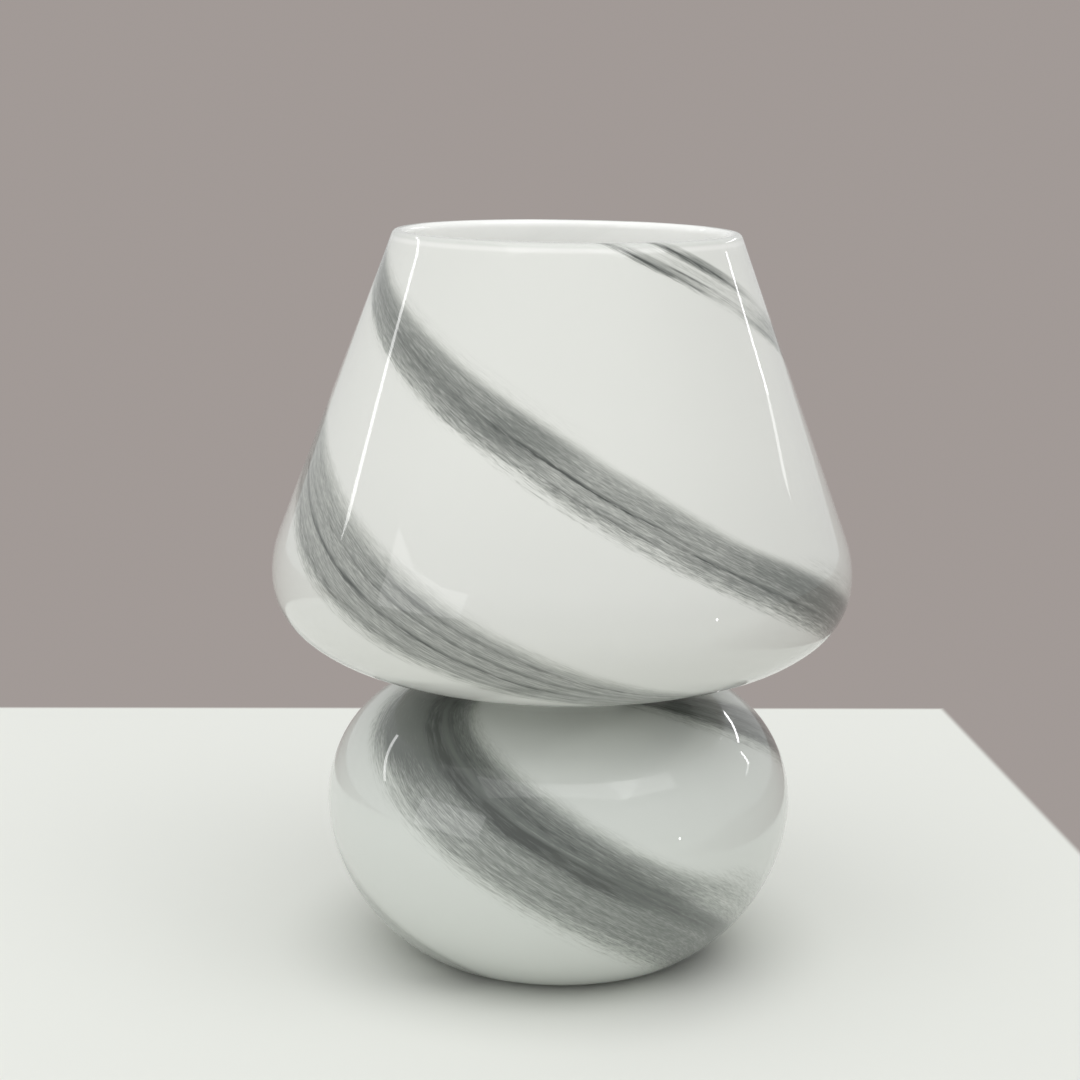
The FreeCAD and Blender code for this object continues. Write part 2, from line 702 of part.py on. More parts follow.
def make_holder_skirt():
    """Upper shell of the lampholder, with the inner sleeve that traps the screw shell on the carrier."""
    sleeve_bore = "(shell_radius + shell_sheet + sleeve_clearance)"
    sleeve_outer = f"({sleeve_bore} + sleeve_wall)"
    sleeve_foot = f"({CARRIER_TOP} + shell_sheet + sleeve_clearance)"
    ceiling = f"({HOLDER_TOP} - skirt_lip_height)"
    body = turned(
        "holder_skirt",
        (
            ("holder_radius - holder_wall", CAP_TOP),
            ("holder_radius", CAP_TOP),
            ("holder_radius", HOLDER_TOP),
            (sleeve_bore, HOLDER_TOP),
            (sleeve_bore, sleeve_foot),
            (sleeve_outer, sleeve_foot),
            (sleeve_outer, ceiling),
            ("holder_radius - holder_wall", ceiling),
        ),
    )
    round_rims(body, "SkirtRound", [("holder_radius", HOLDER_TOP)], "skirt_round")


def make_contact_carrier():
    """Ceramic disc that sits on the cap's spigot and holds both contacts and terminals by their rivets."""
    plug = "(holder_radius - 2 * holder_wall - spigot_clearance - carrier_clearance)"
    flange = "(holder_radius - holder_wall - carrier_clearance)"
    body = turned(
        "contact_carrier",
        (
            ("0", CAP_TOP),
            (plug, CAP_TOP),
            (plug, SPIGOT_TOP),
            (flange, SPIGOT_TOP),
            (flange, CARRIER_TOP),
            ("0", CARRIER_TOP),
        ),
    )
    holes = new_sketch(body, "RivetHoles", lift=CARRIER_TOP)
    for side in ("terminal_offset", "-terminal_offset"):
        circle(holes, "rivet_radius + rivet_clearance", side)
    extrude(body, holes, "RivetDrilling", "spigot_height + carrier_flange_height", "PartDesign::Pocket")


def make_screw_shell():
    """Threaded metal shell of the lampholder, flanged at its foot."""
    outer = "(shell_radius + shell_sheet)"
    turned(
        "screw_shell",
        (
            ("shell_radius", CARRIER_TOP),
            (f"{outer} + shell_flange_width", CARRIER_TOP),
            (f"{outer} + shell_flange_width", f"{CARRIER_TOP} + shell_sheet"),
            (outer, f"{CARRIER_TOP} + shell_sheet"),
            (outer, f"{CARRIER_TOP} + shell_height"),
            ("shell_radius", f"{CARRIER_TOP} + shell_height"),
        ),
    )


def make_contact(name, corners, offset):
    """A bent brass strip on the carrier, with the rivet that joins it to its terminal."""
    body = new_body(name)
    strip = new_sketch(body, f"{name}_bend", "XZ_Plane")
    outline(strip, corners)
    extrude(body, strip, f"{name}_strip", "contact_width", both_ways=True)
    rivet = new_sketch(body, f"{name}_rivet", lift=f"{CARRIER_TOP} + contact_sheet / 2")
    circle(rivet, "rivet_radius", offset)
    shank = "contact_sheet / 2 + carrier_flange_height + spigot_height"
    extrude(body, rivet, f"{name}_shank", shank).Reversed = True


def make_contacts():
    """The sprung middle contact, bent up to meet the bulb's tip, and the side contact against the shell."""
    foot = CARRIER_TOP
    top_of_sheet = f"({CARRIER_TOP} + contact_sheet)"
    crest = f"({CARRIER_TOP} + contact_spring_height)"
    make_contact(
        "centre_contact",
        (
            ("terminal_offset - rivet_radius", foot),
            ("terminal_offset + rivet_radius * 1.8", foot),
            ("terminal_offset + rivet_radius * 1.8", top_of_sheet),
            ("terminal_offset - rivet_radius", top_of_sheet),
            ("contact_width / 2", crest),
            ("-contact_width / 2", crest),
            ("-contact_width / 2", f"{crest} - contact_sheet"),
            ("contact_width / 2 - contact_sheet / 2", f"{crest} - contact_sheet"),
        ),
        "terminal_offset",
    )
    make_contact(
        "side_contact",
        (
            ("-side_contact_reach", foot),
            ("-(terminal_offset - rivet_radius * 1.8)", foot),
            ("-(terminal_offset - rivet_radius * 1.8)", top_of_sheet),
            ("-(side_contact_reach - contact_sheet)", top_of_sheet),
            ("-(side_contact_reach - contact_sheet)", f"{foot} + side_contact_height"),
            ("-side_contact_reach", f"{foot} + side_contact_height"),
        ),
        "-terminal_offset",
    )


def make_terminals():
    """Two brass terminal blocks under the carrier, each with a wire hole from below and a clamping screw."""
    blocks = new_body("terminal_blocks")
    blocks.AllowCompound = True
    plan = new_sketch(blocks, "BlockPlan", lift=CAP_TOP)
    near = "terminal_offset - terminal_length / 2"
    far = "terminal_offset + terminal_length / 2"
    outline(
        plan,
        (
            (near, "-terminal_depth / 2"),
            (far, "-terminal_depth / 2"),
            (far, "terminal_depth / 2"),
            (near, "terminal_depth / 2"),
        ),
    )
    block = extrude(blocks, plan, "Block", "terminal_height")
    block.Reversed = True
    wire = new_sketch(blocks, "WireHole", lift=f"{CAP_TOP} - terminal_height")
    circle(wire, "terminal_wire_radius", "terminal_offset")
    bore = extrude(blocks, wire, "WireBore", "terminal_height * 0.7", "PartDesign::Pocket")
    bore.Reversed = True
    mirror_across(blocks, [block, bore], "YZ_Plane")

    screws = new_body("terminal_screws")
    screws.AllowCompound = True
    middle = f"({CAP_TOP} - terminal_height * 0.45)"
    head = new_sketch(screws, "ScrewHead", "XZ_Plane", "terminal_depth / 2 + terminal_screw_length")
    circle(head, "terminal_screw_head_radius", "terminal_offset", middle)
    heads = extrude(screws, head, "Head", "terminal_screw_head_height")
    shank = new_sketch(screws, "ScrewShank", "XZ_Plane", "terminal_depth / 2")
    circle(shank, "terminal_screw_radius", "terminal_offset", middle)
    shanks = extrude(screws, shank, "Shank", "terminal_screw_length")
    mirror_across(screws, [heads, shanks], "YZ_Plane")


def make_bulb_cap():
    """Tip contact, insulator and screw cap of the bulb."""
    shank_top = f"{INSULATOR_FOOT} + tip_shank_height"
    turned(
        "bulb_tip_contact",
        (
            ("0", BULB_TIP),
            ("tip_radius", BULB_TIP),
            ("tip_radius", INSULATOR_FOOT),
            ("tip_shank_radius", INSULATOR_FOOT),
            ("tip_shank_radius", shank_top),
            ("0", shank_top),
        ),
    )
    bore = "(tip_shank_radius + bulb_fit_clearance)"
    plug_top = f"{BULB_CAP_FOOT} + insulator_plug_height"
    turned(
        "bulb_insulator",
        (
            (bore, INSULATOR_FOOT),
            ("insulator_foot_radius", INSULATOR_FOOT),
            ("insulator_radius", BULB_CAP_FOOT),
            ("insulator_radius", plug_top),
            (bore, plug_top),
        ),
    )
    mouth = "(insulator_radius + bulb_fit_clearance)"
    chamfer = f"(bulb_cap_radius - {mouth})"
    inner = "(bulb_cap_radius - bulb_cap_sheet)"
    turned(
        "bulb_screw_cap",
        (
            (mouth, BULB_CAP_FOOT),
            ("bulb_cap_radius", f"{BULB_CAP_FOOT} + {chamfer}"),
            ("bulb_cap_radius", BULB_CAP_RIM),
            (inner, BULB_CAP_RIM),
            (inner, f"{BULB_CAP_FOOT} + {chamfer} + bulb_cap_sheet / 2"),
            (mouth, f"{BULB_CAP_FOOT} + bulb_cap_sheet * 1.5"),
        ),
    )


def make_bulb_housing():
    """Moulded housing between the screw cap and the globe, hollow for the driver."""
    neck = "(bulb_cap_radius - bulb_cap_sheet - bulb_fit_clearance)"
    neck_foot = f"({BULB_CAP_RIM} - bulb_neck_depth)"
    board_seat = f"({GLOBE_SEAT} - led_board_thickness)"
    bore = f"({neck} - bulb_wall)"
    turned(
        "bulb_housing",
        (
            (bore, neck_foot),
            (neck, neck_foot),
            (neck, f"{BULB_CAP_RIM} + bulb_fit_clearance"),
            ("bulb_neck_radius", f"{BULB_CAP_RIM} + bulb_fit_clearance"),
            (GLOBE_SEAT_RADIUS, GLOBE_SEAT, "bulb_flare_curve", 1),
            ("led_board_radius + bulb_fit_clearance", GLOBE_SEAT),
            ("led_board_radius + bulb_fit_clearance", board_seat),
            ("led_board_radius - bulb_wall", board_seat),
            (bore, BULB_CAP_RIM, "bulb_flare_curve", -1),
        ),
    )


def make_globe():
    """Opal diffuser of the bulb: a ball that is cut level where it meets the housing."""
    inner = "(globe_radius - bulb_wall)"
    seat = f"({GLOBE_SEAT} + bulb_fit_clearance)"
    drop = "(globe_seat_drop - bulb_fit_clearance)"
    outer_foot = f"sqrt(globe_radius ^ 2 - {drop} ^ 2)"
    inner_foot = f"sqrt({inner} ^ 2 - {drop} ^ 2)"
    body = new_body("bulb_diffuser")
    section = new_sketch(body, "GlobeSection", "XZ_Plane")
    outline(
        section,
        (
            (outer_foot, seat),
            ("globe_radius", GLOBE_CENTRE, "globe_radius", 1),
            ("0", f"{GLOBE_CENTRE} + globe_radius", "globe_radius", 1),
            ("0", f"{GLOBE_CENTRE} + {inner}"),
            (inner, GLOBE_CENTRE, inner, -1),
            (inner_foot, seat, inner, -1),
        ),
    )
    revolve(body, section, "Globe")


def make_bulb_electronics():
    """Board with its light-emitting chips under the globe, and the driver board in the housing."""
    board_seat = f"({GLOBE_SEAT} - led_board_thickness)"
    ring("led_board", "led_board_radius", "rivet_radius", board_seat, "led_board_thickness")

    chips = new_body("led_chips")
    chips.AllowCompound = True
    plan = new_sketch(chips, "ChipPlan", lift=GLOBE_SEAT)
    near = "led_circle_radius - led_chip_side / 2"
    far = "led_circle_radius + led_chip_side / 2"
    outline(
        plan,
        (
            (near, "-led_chip_side / 2"),
            (far, "-led_chip_side / 2"),
            (far, "led_chip_side / 2"),
            (near, "led_chip_side / 2"),
        ),
    )
    chip = extrude(chips, plan, "Chip", "led_chip_height")
    repeat_round(chips, chip, "led_count")

    foot = f"({BULB_CAP_RIM} - bulb_neck_depth)"
    neck_bore = "(bulb_cap_radius - bulb_cap_sheet - bulb_wall - 2 * bulb_fit_clearance)"
    width = f"2 * sqrt({neck_bore} ^ 2 - (driver_board_thickness / 2) ^ 2)"
    driver = doc.addObject("Part::Box", "driver_board")
    bind(driver, "Length", width)
    bind(driver, "Width", "driver_board_thickness")
    bind(driver, "Height", "driver_length")
    bind(driver, "Placement.Base.x", f"-{width} / 2")
    bind(driver, "Placement.Base.y", "-driver_board_thickness / 2")
    bind(driver, "Placement.Base.z", foot)
    nodes.append(driver)

    capacitor = doc.addObject("Part::Cylinder", "driver_capacitor")
    bind(capacitor, "Radius", "capacitor_radius")
    bind(capacitor, "Height", "capacitor_length")
    bind(capacitor, "Placement.Base.y", "driver_board_thickness / 2 + capacitor_radius")
    bind(capacitor, "Placement.Base.z", f"{foot} + bulb_wall")
    nodes.append(capacitor)


make_glass_body()
make_foot_pads()
make_cord_grommet()
make_clamp_stack()
make_stem()
make_holder_cap()
make_holder_skirt()
make_contact_carrier()
make_screw_shell()
make_contacts()
make_terminals()
make_bulb_cap()
make_bulb_housing()
make_globe()
make_bulb_electronics()

doc.recompute()
for thing in doc.Objects:
    if "Invalid" in thing.State or "Error" in thing.State:
        raise RuntimeError(f"{thing.Label} failed: {thing.State}")

os.makedirs("parts", exist_ok=True)
for node in nodes:
    if node.Shape.isNull() or not node.Shape.isValid():
        raise RuntimeError(f"{node.Label} has no valid shape")
    node.Shape.exportStep(f"parts/{node.Label}.step")
    print(f"{node.Label}: {len(node.Shape.Solids)} solids, {node.Shape.Volume:.1f} mm3")
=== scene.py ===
# %% [markdown]
# # A mushroom table lamp in blown glass
# The lamp is one blown glass body: a cone-shaped shade over a round base, white inside and clear
# outside, with grey swirls between the two. A lampholder and a bulb stand in it on a brass stem.
# The CAD model gives every real size. This script gives the pieces their looks around it.

# %% Load the frame
import json
import math

import bpy
import numpy as np
from mathutils import Matrix, Vector


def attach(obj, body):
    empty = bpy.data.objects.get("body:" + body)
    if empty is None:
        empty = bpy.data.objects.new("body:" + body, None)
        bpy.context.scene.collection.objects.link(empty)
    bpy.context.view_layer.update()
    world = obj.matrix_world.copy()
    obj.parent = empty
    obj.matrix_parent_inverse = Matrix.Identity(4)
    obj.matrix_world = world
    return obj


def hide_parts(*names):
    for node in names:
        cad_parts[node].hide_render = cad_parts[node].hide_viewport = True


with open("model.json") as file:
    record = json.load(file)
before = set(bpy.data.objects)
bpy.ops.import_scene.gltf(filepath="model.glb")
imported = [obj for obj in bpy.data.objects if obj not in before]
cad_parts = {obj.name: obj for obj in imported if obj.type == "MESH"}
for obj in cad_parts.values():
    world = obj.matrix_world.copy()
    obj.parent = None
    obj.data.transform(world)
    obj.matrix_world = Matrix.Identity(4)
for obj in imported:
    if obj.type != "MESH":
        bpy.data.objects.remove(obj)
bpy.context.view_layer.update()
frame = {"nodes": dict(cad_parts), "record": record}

MM = 0.001
nodes = frame["nodes"]

# %% [markdown]
# ## The camera
# A camera that was fitted to the lamp's outline stands 0.78 m in front of it and looks 12 degrees
# down. Its three axes are worked out from the tilt, the turn to the side and the roll. A matrix of
# those axes places the camera in one step, where three Euler angles would depend on their order.

# %% Camera
PHOTO_SIDE = 1080
FOCAL_PIXELS = 2200
camera_place = Vector((0.0, -0.782606, 0.316659))
tilt_down, turn_aside, roll = 0.20783, -0.01033, 0.01387

level_right = Vector((math.cos(turn_aside), -math.sin(turn_aside), 0))
ahead = Vector((math.sin(turn_aside) * math.cos(tilt_down),
                math.cos(turn_aside) * math.cos(tilt_down), -math.sin(tilt_down)))
level_up = level_right.cross(ahead)
right = math.cos(roll) * level_right + math.sin(roll) * level_up
up = math.cos(roll) * level_up - math.sin(roll) * level_right


def set_axes(made, x, y, z, place):
    """Puts an object at a place with its own axes along x, y and z."""
    made.matrix_world = Matrix.Translation(place) @ Matrix((x, y, z)).transposed().to_4x4()


camera = bpy.data.objects.new("camera", bpy.data.cameras.new("camera"))
bpy.context.scene.collection.objects.link(camera)
set_axes(camera, right, up, -ahead, camera_place)
camera.data.sensor_width = 36.0
camera.data.lens = FOCAL_PIXELS / PHOTO_SIDE * camera.data.sensor_width
camera.data.clip_start = 0.01
bpy.context.scene.camera = camera
bpy.context.scene.view_settings.view_transform = "Standard"
print("lens:", round(camera.data.lens, 2), "mm")

# %% [markdown]
# ## Shader maths as Python expressions
# A material is a graph of nodes, and sums drawn as nodes are hard to read. One small class wraps a
# socket, and its operators add Math nodes: `1 - mask * 0.5` in the code is that sum in the graph.
# Colours and vectors go through Mix and Vector Math nodes, and every other node through `node`.


# %% The socket wrapper
class Wire:
    """A socket of a node tree that takes part in Python expressions."""

    def __init__(self, tree, socket):
        self.tree, self.socket = tree, socket

    def node(self, kind, inputs=(), output=0, **settings):
        """Adds a node of any type: its settings first, then the values or links of its sockets."""
        made = self.tree.nodes.new(kind)
        for name, value in settings.items():
            if name == "stops":
                ramp = made.color_ramp
                while len(ramp.elements) < len(value):
                    ramp.elements.new(1.0)
                for element, (place, color) in zip(ramp.elements, value):
                    element.position, element.color = place, (*color, 1.0)
            else:
                setattr(made, name, value)
        for key, value in dict(inputs).items():
            if isinstance(value, Wire):
                self.tree.links.new(value.socket, made.inputs[key])
            else:
                made.inputs[key].default_value = value
        return Wire(self.tree, made.outputs[output])

    def math(self, operation, *others):
        values = dict(enumerate((self, *others)))
        return self.node("ShaderNodeMath", values, operation=operation)

    def __add__(self, other): return self.math("ADD", other)
    def __radd__(self, other): return self.math("ADD", other)
    def __sub__(self, other): return self.math("SUBTRACT", other)
    def __rsub__(self, other): return self * -1.0 + other
    def __mul__(self, other): return self.math("MULTIPLY", other)
    def __rmul__(self, other): return self.math("MULTIPLY", other)
    def __truediv__(self, other): return self.math("DIVIDE", other)
    def __abs__(self): return self.math("ABSOLUTE")

    def smooth(self, start, end):
        """0 up to start, 1 from end on, and a soft step between them."""
        return self.node("ShaderNodeMapRange", {"Value": self, "From Min": start, "From Max": end},
                         interpolation_type="SMOOTHSTEP")

    def larger(self, other): return self.math("MAXIMUM", other)

    def mix(self, color_a, color_b):
        """From color_a to color_b as this value goes from 0 to 1."""
        ends = [c if isinstance(c, Wire) else (*c, 1.0) for c in (color_a, color_b)]
        return self.node("ShaderNodeMix", {0: self, 6: ends[0], 7: ends[1]}, output=2,
                         data_type="RGBA")

    def ramp(self, *stops):
        """A colour from this value, through stops of (value, colour)."""
        return self.node("ShaderNodeValToRGB", {"Fac": self}, stops=stops)

    def noise(self, scale=1.0, detail=2.0, gain=1.0):
        """Fractal noise on this vector, spread about 0.5 by the gain."""
        plain = self.node("ShaderNodeTexNoise", {"Vector": self, "Scale": scale, "Detail": detail})
        return plain if gain == 1.0 else (plain - 0.5) * gain + 0.5

    def xyz(self):
        """The three numbers of this vector."""
        split = self.node("ShaderNodeSeparateXYZ", {"Vector": self}).socket.node
        return [Wire(self.tree, socket) for socket in split.outputs]

    def join(self, y, z):
        """A vector of this number and two more."""
        return self.node("ShaderNodeCombineXYZ", {"X": self, "Y": y, "Z": z})

    def stretched(self, x, y, z):
        """This vector, each part multiplied by its own number."""
        return self.node("ShaderNodeVectorMath", {0: self, 1: (x, y, z)}, operation="MULTIPLY")

    def tinted(self, tint):
        """This colour, multiplied by another."""
        return self.node("ShaderNodeVectorMath", {0: self, 1: tint}, operation="MULTIPLY")

    def unit(self):
        """This vector, made one long."""
        return self.node("ShaderNodeVectorMath", {0: self}, operation="NORMALIZE")

    def stored(self, name):
        """A number that the mesh keeps for each point."""
        return self.node("ShaderNodeAttribute", output=2, attribute_name=name)

    def bump(self, distance, strength=1.0):
        """A normal from this height, whose steps are so many metres high."""
        return self.node("ShaderNodeBump", {"Height": self, "Strength": strength,
                                            "Distance": distance})


# %% [markdown]
# ## Starting a finish
# Most finishes are a Principled shader. What is the same all over, such as how clear a coat is, is
# set on the shader's own socket. What varies over the piece is linked to it as a wire. Patterns are
# laid out in object coordinates, in metres, so they hold still on the piece and don't stretch.

# %% Start and feed a finish
finishes = {}


def new_finish(name, **sockets):
    """A Principled material whose constant sockets are set. Gives its object coordinates."""
    finish = finishes[name] = bpy.data.materials.new(name)
    finish.use_nodes = True
    tree = finish.node_tree
    for key, value in sockets.items():
        tree.nodes["Principled BSDF"].inputs[key.replace("_", " ")].default_value = value
    return Wire(tree, tree.nodes.new("ShaderNodeTexCoord").outputs["Object"])


def feed(name, **sockets):
    """Links wires to the Principled sockets of a finish."""
    shader = finishes[name].node_tree.nodes["Principled BSDF"]
    for key, wire in sockets.items():
        wire.tree.links.new(wire.socket, shader.inputs[key.replace("_", " ")])


print("finishes so far:", len(finishes))

# %% [markdown]
# ## Drawing a half section
# Blown glass and turned metal are round, so half of the section, spun once about the axis, is the
# whole piece. The section is a walk: straight runs, and turns on a curve of a stated radius. Each
# turn is a Spin of the last point about the curve's centre, as a compass draws it.


# %% A point, a run and a turn
def only(made):
    """Selects one object and makes it the active one."""
    bpy.ops.object.select_all(action="DESELECT")
    made.select_set(True)
    bpy.context.view_layer.objects.active = made
    return made


def single_point(name, r, z):
    """A new object in edit mode: one point, at radius r and height z in millimetres."""
    bpy.ops.object.select_all(action="DESELECT")
    bpy.ops.mesh.primitive_plane_add(size=MM, location=(0, 0, 0))
    made = bpy.context.object
    made.name = made.data.name = name
    bpy.ops.object.mode_set(mode="EDIT")
    bpy.ops.mesh.merge(type="CENTER")
    bpy.ops.transform.translate(value=(r * MM, 0, z * MM))
    return made


def go(point, heading, length, steps=1):
    """Extrudes the selected point straight ahead."""
    step = Vector((math.cos(heading), math.sin(heading))) * (length / steps)
    for _ in range(steps):
        bpy.ops.mesh.extrude_region_move(
            TRANSFORM_OT_translate={"value": (step.x * MM, 0, step.y * MM)})
    return point + step * steps, heading


def turn(point, heading, radius, degrees, steps):
    """Spins the selected point on a curve: to the left for positive degrees, else to the right."""
    side = math.copysign(1.0, degrees)
    centre = point + Vector((-math.sin(heading), math.cos(heading))) * side * radius
    angle = math.radians(degrees)
    bpy.ops.mesh.spin(steps=steps, angle=angle, center=(centre.x * MM, 0, centre.y * MM),
                      axis=(0, 1, 0))
    arm = point - centre
    arm = Vector((arm.x * math.cos(angle) - arm.y * math.sin(angle),
                  arm.x * math.sin(angle) + arm.y * math.cos(angle)))
    return centre + arm, heading + angle


# %% [markdown]
# ## A whole walk
# A list of moves describes a section the way a drawing does, by its lengths, radii and angles. The
# walk counts how many points each move made, because the swirl on the glass needs to know later
# how far along the section every point lies.


# %% A walk of moves
STRAIGHT_STEP, FEWEST_IN_A_TURN = 1.5, 4


def length_of(move):
    """The length in millimetres that a move covers."""
    return move[0] if len(move) == 1 else move[0] * math.radians(abs(move[1]))


def walk(name, r, z, moves, step, heading=0.0):
    """Draws a walk from (r, z), with a point every step millimetres or so on its curves.

    A move is (length,) or (radius, degrees), and a radius of 0 is a sharp corner.
    """
    made = single_point(name, r, z)
    point, heading, ends = Vector((r, z)), math.radians(heading), [0]
    for move in moves:
        if len(move) == 1:
            steps = max(1, round(move[0] / step / STRAIGHT_STEP))
            point, heading = go(point, heading, move[0], steps)
        elif move[0] == 0:
            steps, heading = 0, heading + math.radians(move[1])
        else:
            steps = max(FEWEST_IN_A_TURN, round(length_of(move) / step))
            point, heading = turn(point, heading, *move, steps)
        ends.append(ends[-1] + steps)
    bpy.ops.object.mode_set(mode="OBJECT")
    return made, point, ends


# %% [markdown]
# ## From a section to a piece
# The two ends of the section are joined, and a Spin takes it round the axis. The last column of
# points lands on the first, so the two are merged and the seam is closed. A Spin can leave faces
# looking inwards, so they are turned out at the end.


# %% Close and spin
SEAM_GAP = 0.002 * MM


def close_section(made):
    """Joins the two loose ends of a walk."""
    only(made)
    bpy.ops.object.mode_set(mode="EDIT")
    bpy.ops.mesh.select_all(action="DESELECT")
    bpy.ops.object.mode_set(mode="OBJECT")
    uses = np.bincount(np.array([edge.vertices[:] for edge in made.data.edges]).ravel())
    for end in np.flatnonzero(uses == 1):
        made.data.vertices[int(end)].select = True
    bpy.ops.object.mode_set(mode="EDIT")
    bpy.ops.mesh.edge_face_add()
    bpy.ops.object.mode_set(mode="OBJECT")


def spin_round(made, steps):
    """Spins a section once about the lamp's axis, closes the seam and turns the faces outwards."""
    only(made)
    bpy.ops.object.mode_set(mode="EDIT")
    bpy.ops.mesh.select_all(action="SELECT")
    bpy.ops.mesh.spin(steps=steps, angle=2 * math.pi, center=(0, 0, 0), axis=(0, 0, 1))
    bpy.ops.mesh.select_all(action="SELECT")
    bpy.ops.mesh.remove_doubles(threshold=SEAM_GAP)
    bpy.ops.mesh.normals_make_consistent(inside=False)
    bpy.ops.object.mode_set(mode="OBJECT")
    return made


# %% [markdown]
# ## Finishing a piece
# Modifiers do what would be slow by hand, and are applied so that the mesh is the final one. Faces
# are shaded smooth, with the real edges kept crisp. Last, each piece takes its finish, the body
# that it moves with, and the CAD node that it stands for.


# %% Modify, smooth and dress
def apply_modifier(made, kind, **settings):
    """Adds a modifier with its settings and applies it."""
    only(made)
    modifier = made.modifiers.new(kind.lower(), kind)
    for name, value in settings.items():
        setattr(modifier, name, value)
    bpy.ops.object.modifier_apply(modifier=modifier.name)


def smooth_faces(made, angle=35):
    """Shades smooth, but keeps edges sharper than the angle crisp."""
    only(made)
    bpy.ops.object.shade_smooth_by_angle(angle=math.radians(angle))
    return made


def dress(made, node_names, slot, body):
    """Gives a piece its finish, its body, and the CAD nodes that it stands for."""
    made.data.materials.clear()
    made.data.materials.append(finishes[slot])
    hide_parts(*node_names)
    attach(made, body)
    print(made.name, "stands for", ", ".join(node_names), "with", len(made.data.polygons), "faces")


# %% [markdown]
# ## The glass body
# The outer face has 13 runs and turns, from the clamp hole under the base, over the foot, the
# bulging side and the tight neck to the shade and its rim. The wall is even, so the inner face is
# the same walk backwards, with every radius changed by the wall. The rim is rounded by fire.

# %% Walk round the glass
WALL = 4.5
CLAMP_HOLE = 5.5
FOOT_HEIGHT = 12.2
SLOPE = 20.8
outer_moves = [
    (17.0 - CLAMP_HOLE,), (23.682, -49.247), (8.0, 49.247), (8.0,), (13.0, 33.928),
    (65.973, 50.872), (40.0, 5.2), (44.2, 88.125), (4.7, -178.125), (20.78,), (50.2, 40.0),
    (25.9, 50.0), (40.8, SLOPE)]


def inside_of(move):
    """The same move on the inner face, walked the other way."""
    if len(move) == 1:
        return move
    radius, degrees = move
    return radius - math.copysign(WALL, degrees), -degrees


CONE_LENGTH, INNER_CONE_LENGTH, RIM_WIDTH, LIP = 115.586, 117.294, 4.814, 2.07
outer_cut = LIP * math.tan(math.radians(90 - SLOPE) / 2)
inner_cut = LIP * math.tan(math.radians(90 + SLOPE) / 2)
lip_moves = [(CONE_LENGTH - outer_cut,), (LIP, 90 - SLOPE), (RIM_WIDTH - outer_cut - inner_cut,),
             (LIP, 90 + SLOPE), (INNER_CONE_LENGTH - inner_cut,)]
inner_moves = [inside_of(move) for move in reversed(outer_moves)]
moves = outer_moves + lip_moves + inner_moves
glass, walk_end, move_ends = walk("blown_glass_body", CLAMP_HOLE, FOOT_HEIGHT, moves, step=3.2)
print("the walk ends at", [round(part, 3) for part in walk_end],
      "after", len(glass.data.vertices), "points")

# %% [markdown]
# ## Where the swirl goes
# Grey glass was laid on the white in bands, and the gather was turned as it was blown, so every
# band winds round the lamp. Two numbers per point carry that: the run in millimetres from the axis
# over the outer face, and the twist there. They are stored on the section and go round with it.
# The edges of the section are not listed in order, so its points are first put in the walk's order.


# %% Points in the walk's order
def in_order(made):
    """The points of a walk from its start, as indices."""
    links = {}
    for edge in made.data.edges:
        a, b = edge.vertices
        links.setdefault(a, []).append(b)
        links.setdefault(b, []).append(a)
    ends = [point for point, others in links.items() if len(others) == 1]
    order = [min(ends, key=lambda i: made.data.vertices[i].co.z)]
    while len(order) < len(made.data.vertices):
        order.append(next(i for i in links[order[-1]] if i not in order[-2:]))
    return order


order = in_order(glass)
print("points in order:", len(order))

# %% [markdown]
# ## How far the glass is twisted
# The angle of one band was measured at many heights, on the base and on the shade. A smooth curve
# through each gives the twist in degrees at any run. The neck hides what lies between, so a third
# curve joins the two there without a kink.

# %% Twist
BASE_END, SHADE_START = 193.0, 252.0


def base_twist(s):
    """The twist in degrees on the base, at a run of s millimetres."""
    t = (s - 130.0) / 50.0
    return -57.5 * t + 2.83 * t ** 2 + 4.51 * t ** 3 + 220.0


def shade_twist(s):
    """The twist in degrees on the shade, at a run of s millimetres."""
    t = (s - 330.0) / 50.0
    return -51.02 * t - 1.888 * t ** 2 - 4.183 * t ** 3


def neck_twist(s):
    """A cubic that meets both twists with their own slopes."""
    gap, step = SHADE_START - BASE_END, 0.1
    a, b = base_twist(BASE_END), shade_twist(SHADE_START)
    slope_a = (a - base_twist(BASE_END - step)) / step * gap
    slope_b = (shade_twist(SHADE_START + step) - b) / step * gap
    t = np.clip((s - BASE_END) / gap, 0, 1)
    return ((2 * t ** 3 - 3 * t ** 2 + 1) * a + (t ** 3 - 2 * t ** 2 + t) * slope_a
            + (3 * t ** 2 - 2 * t ** 3) * b + (t ** 3 - t ** 2) * slope_b)


print("twist from the base's middle to the shade's:", round(shade_twist(330) - base_twist(130)))

# %% [markdown]
# ## Storing run, twist and side
# Each point of the section gets three numbers: its run, its twist, and 1 if it lies on the inner
# wall. Below the foot the twist stands still, or the bands would whirl round the clamp hole.

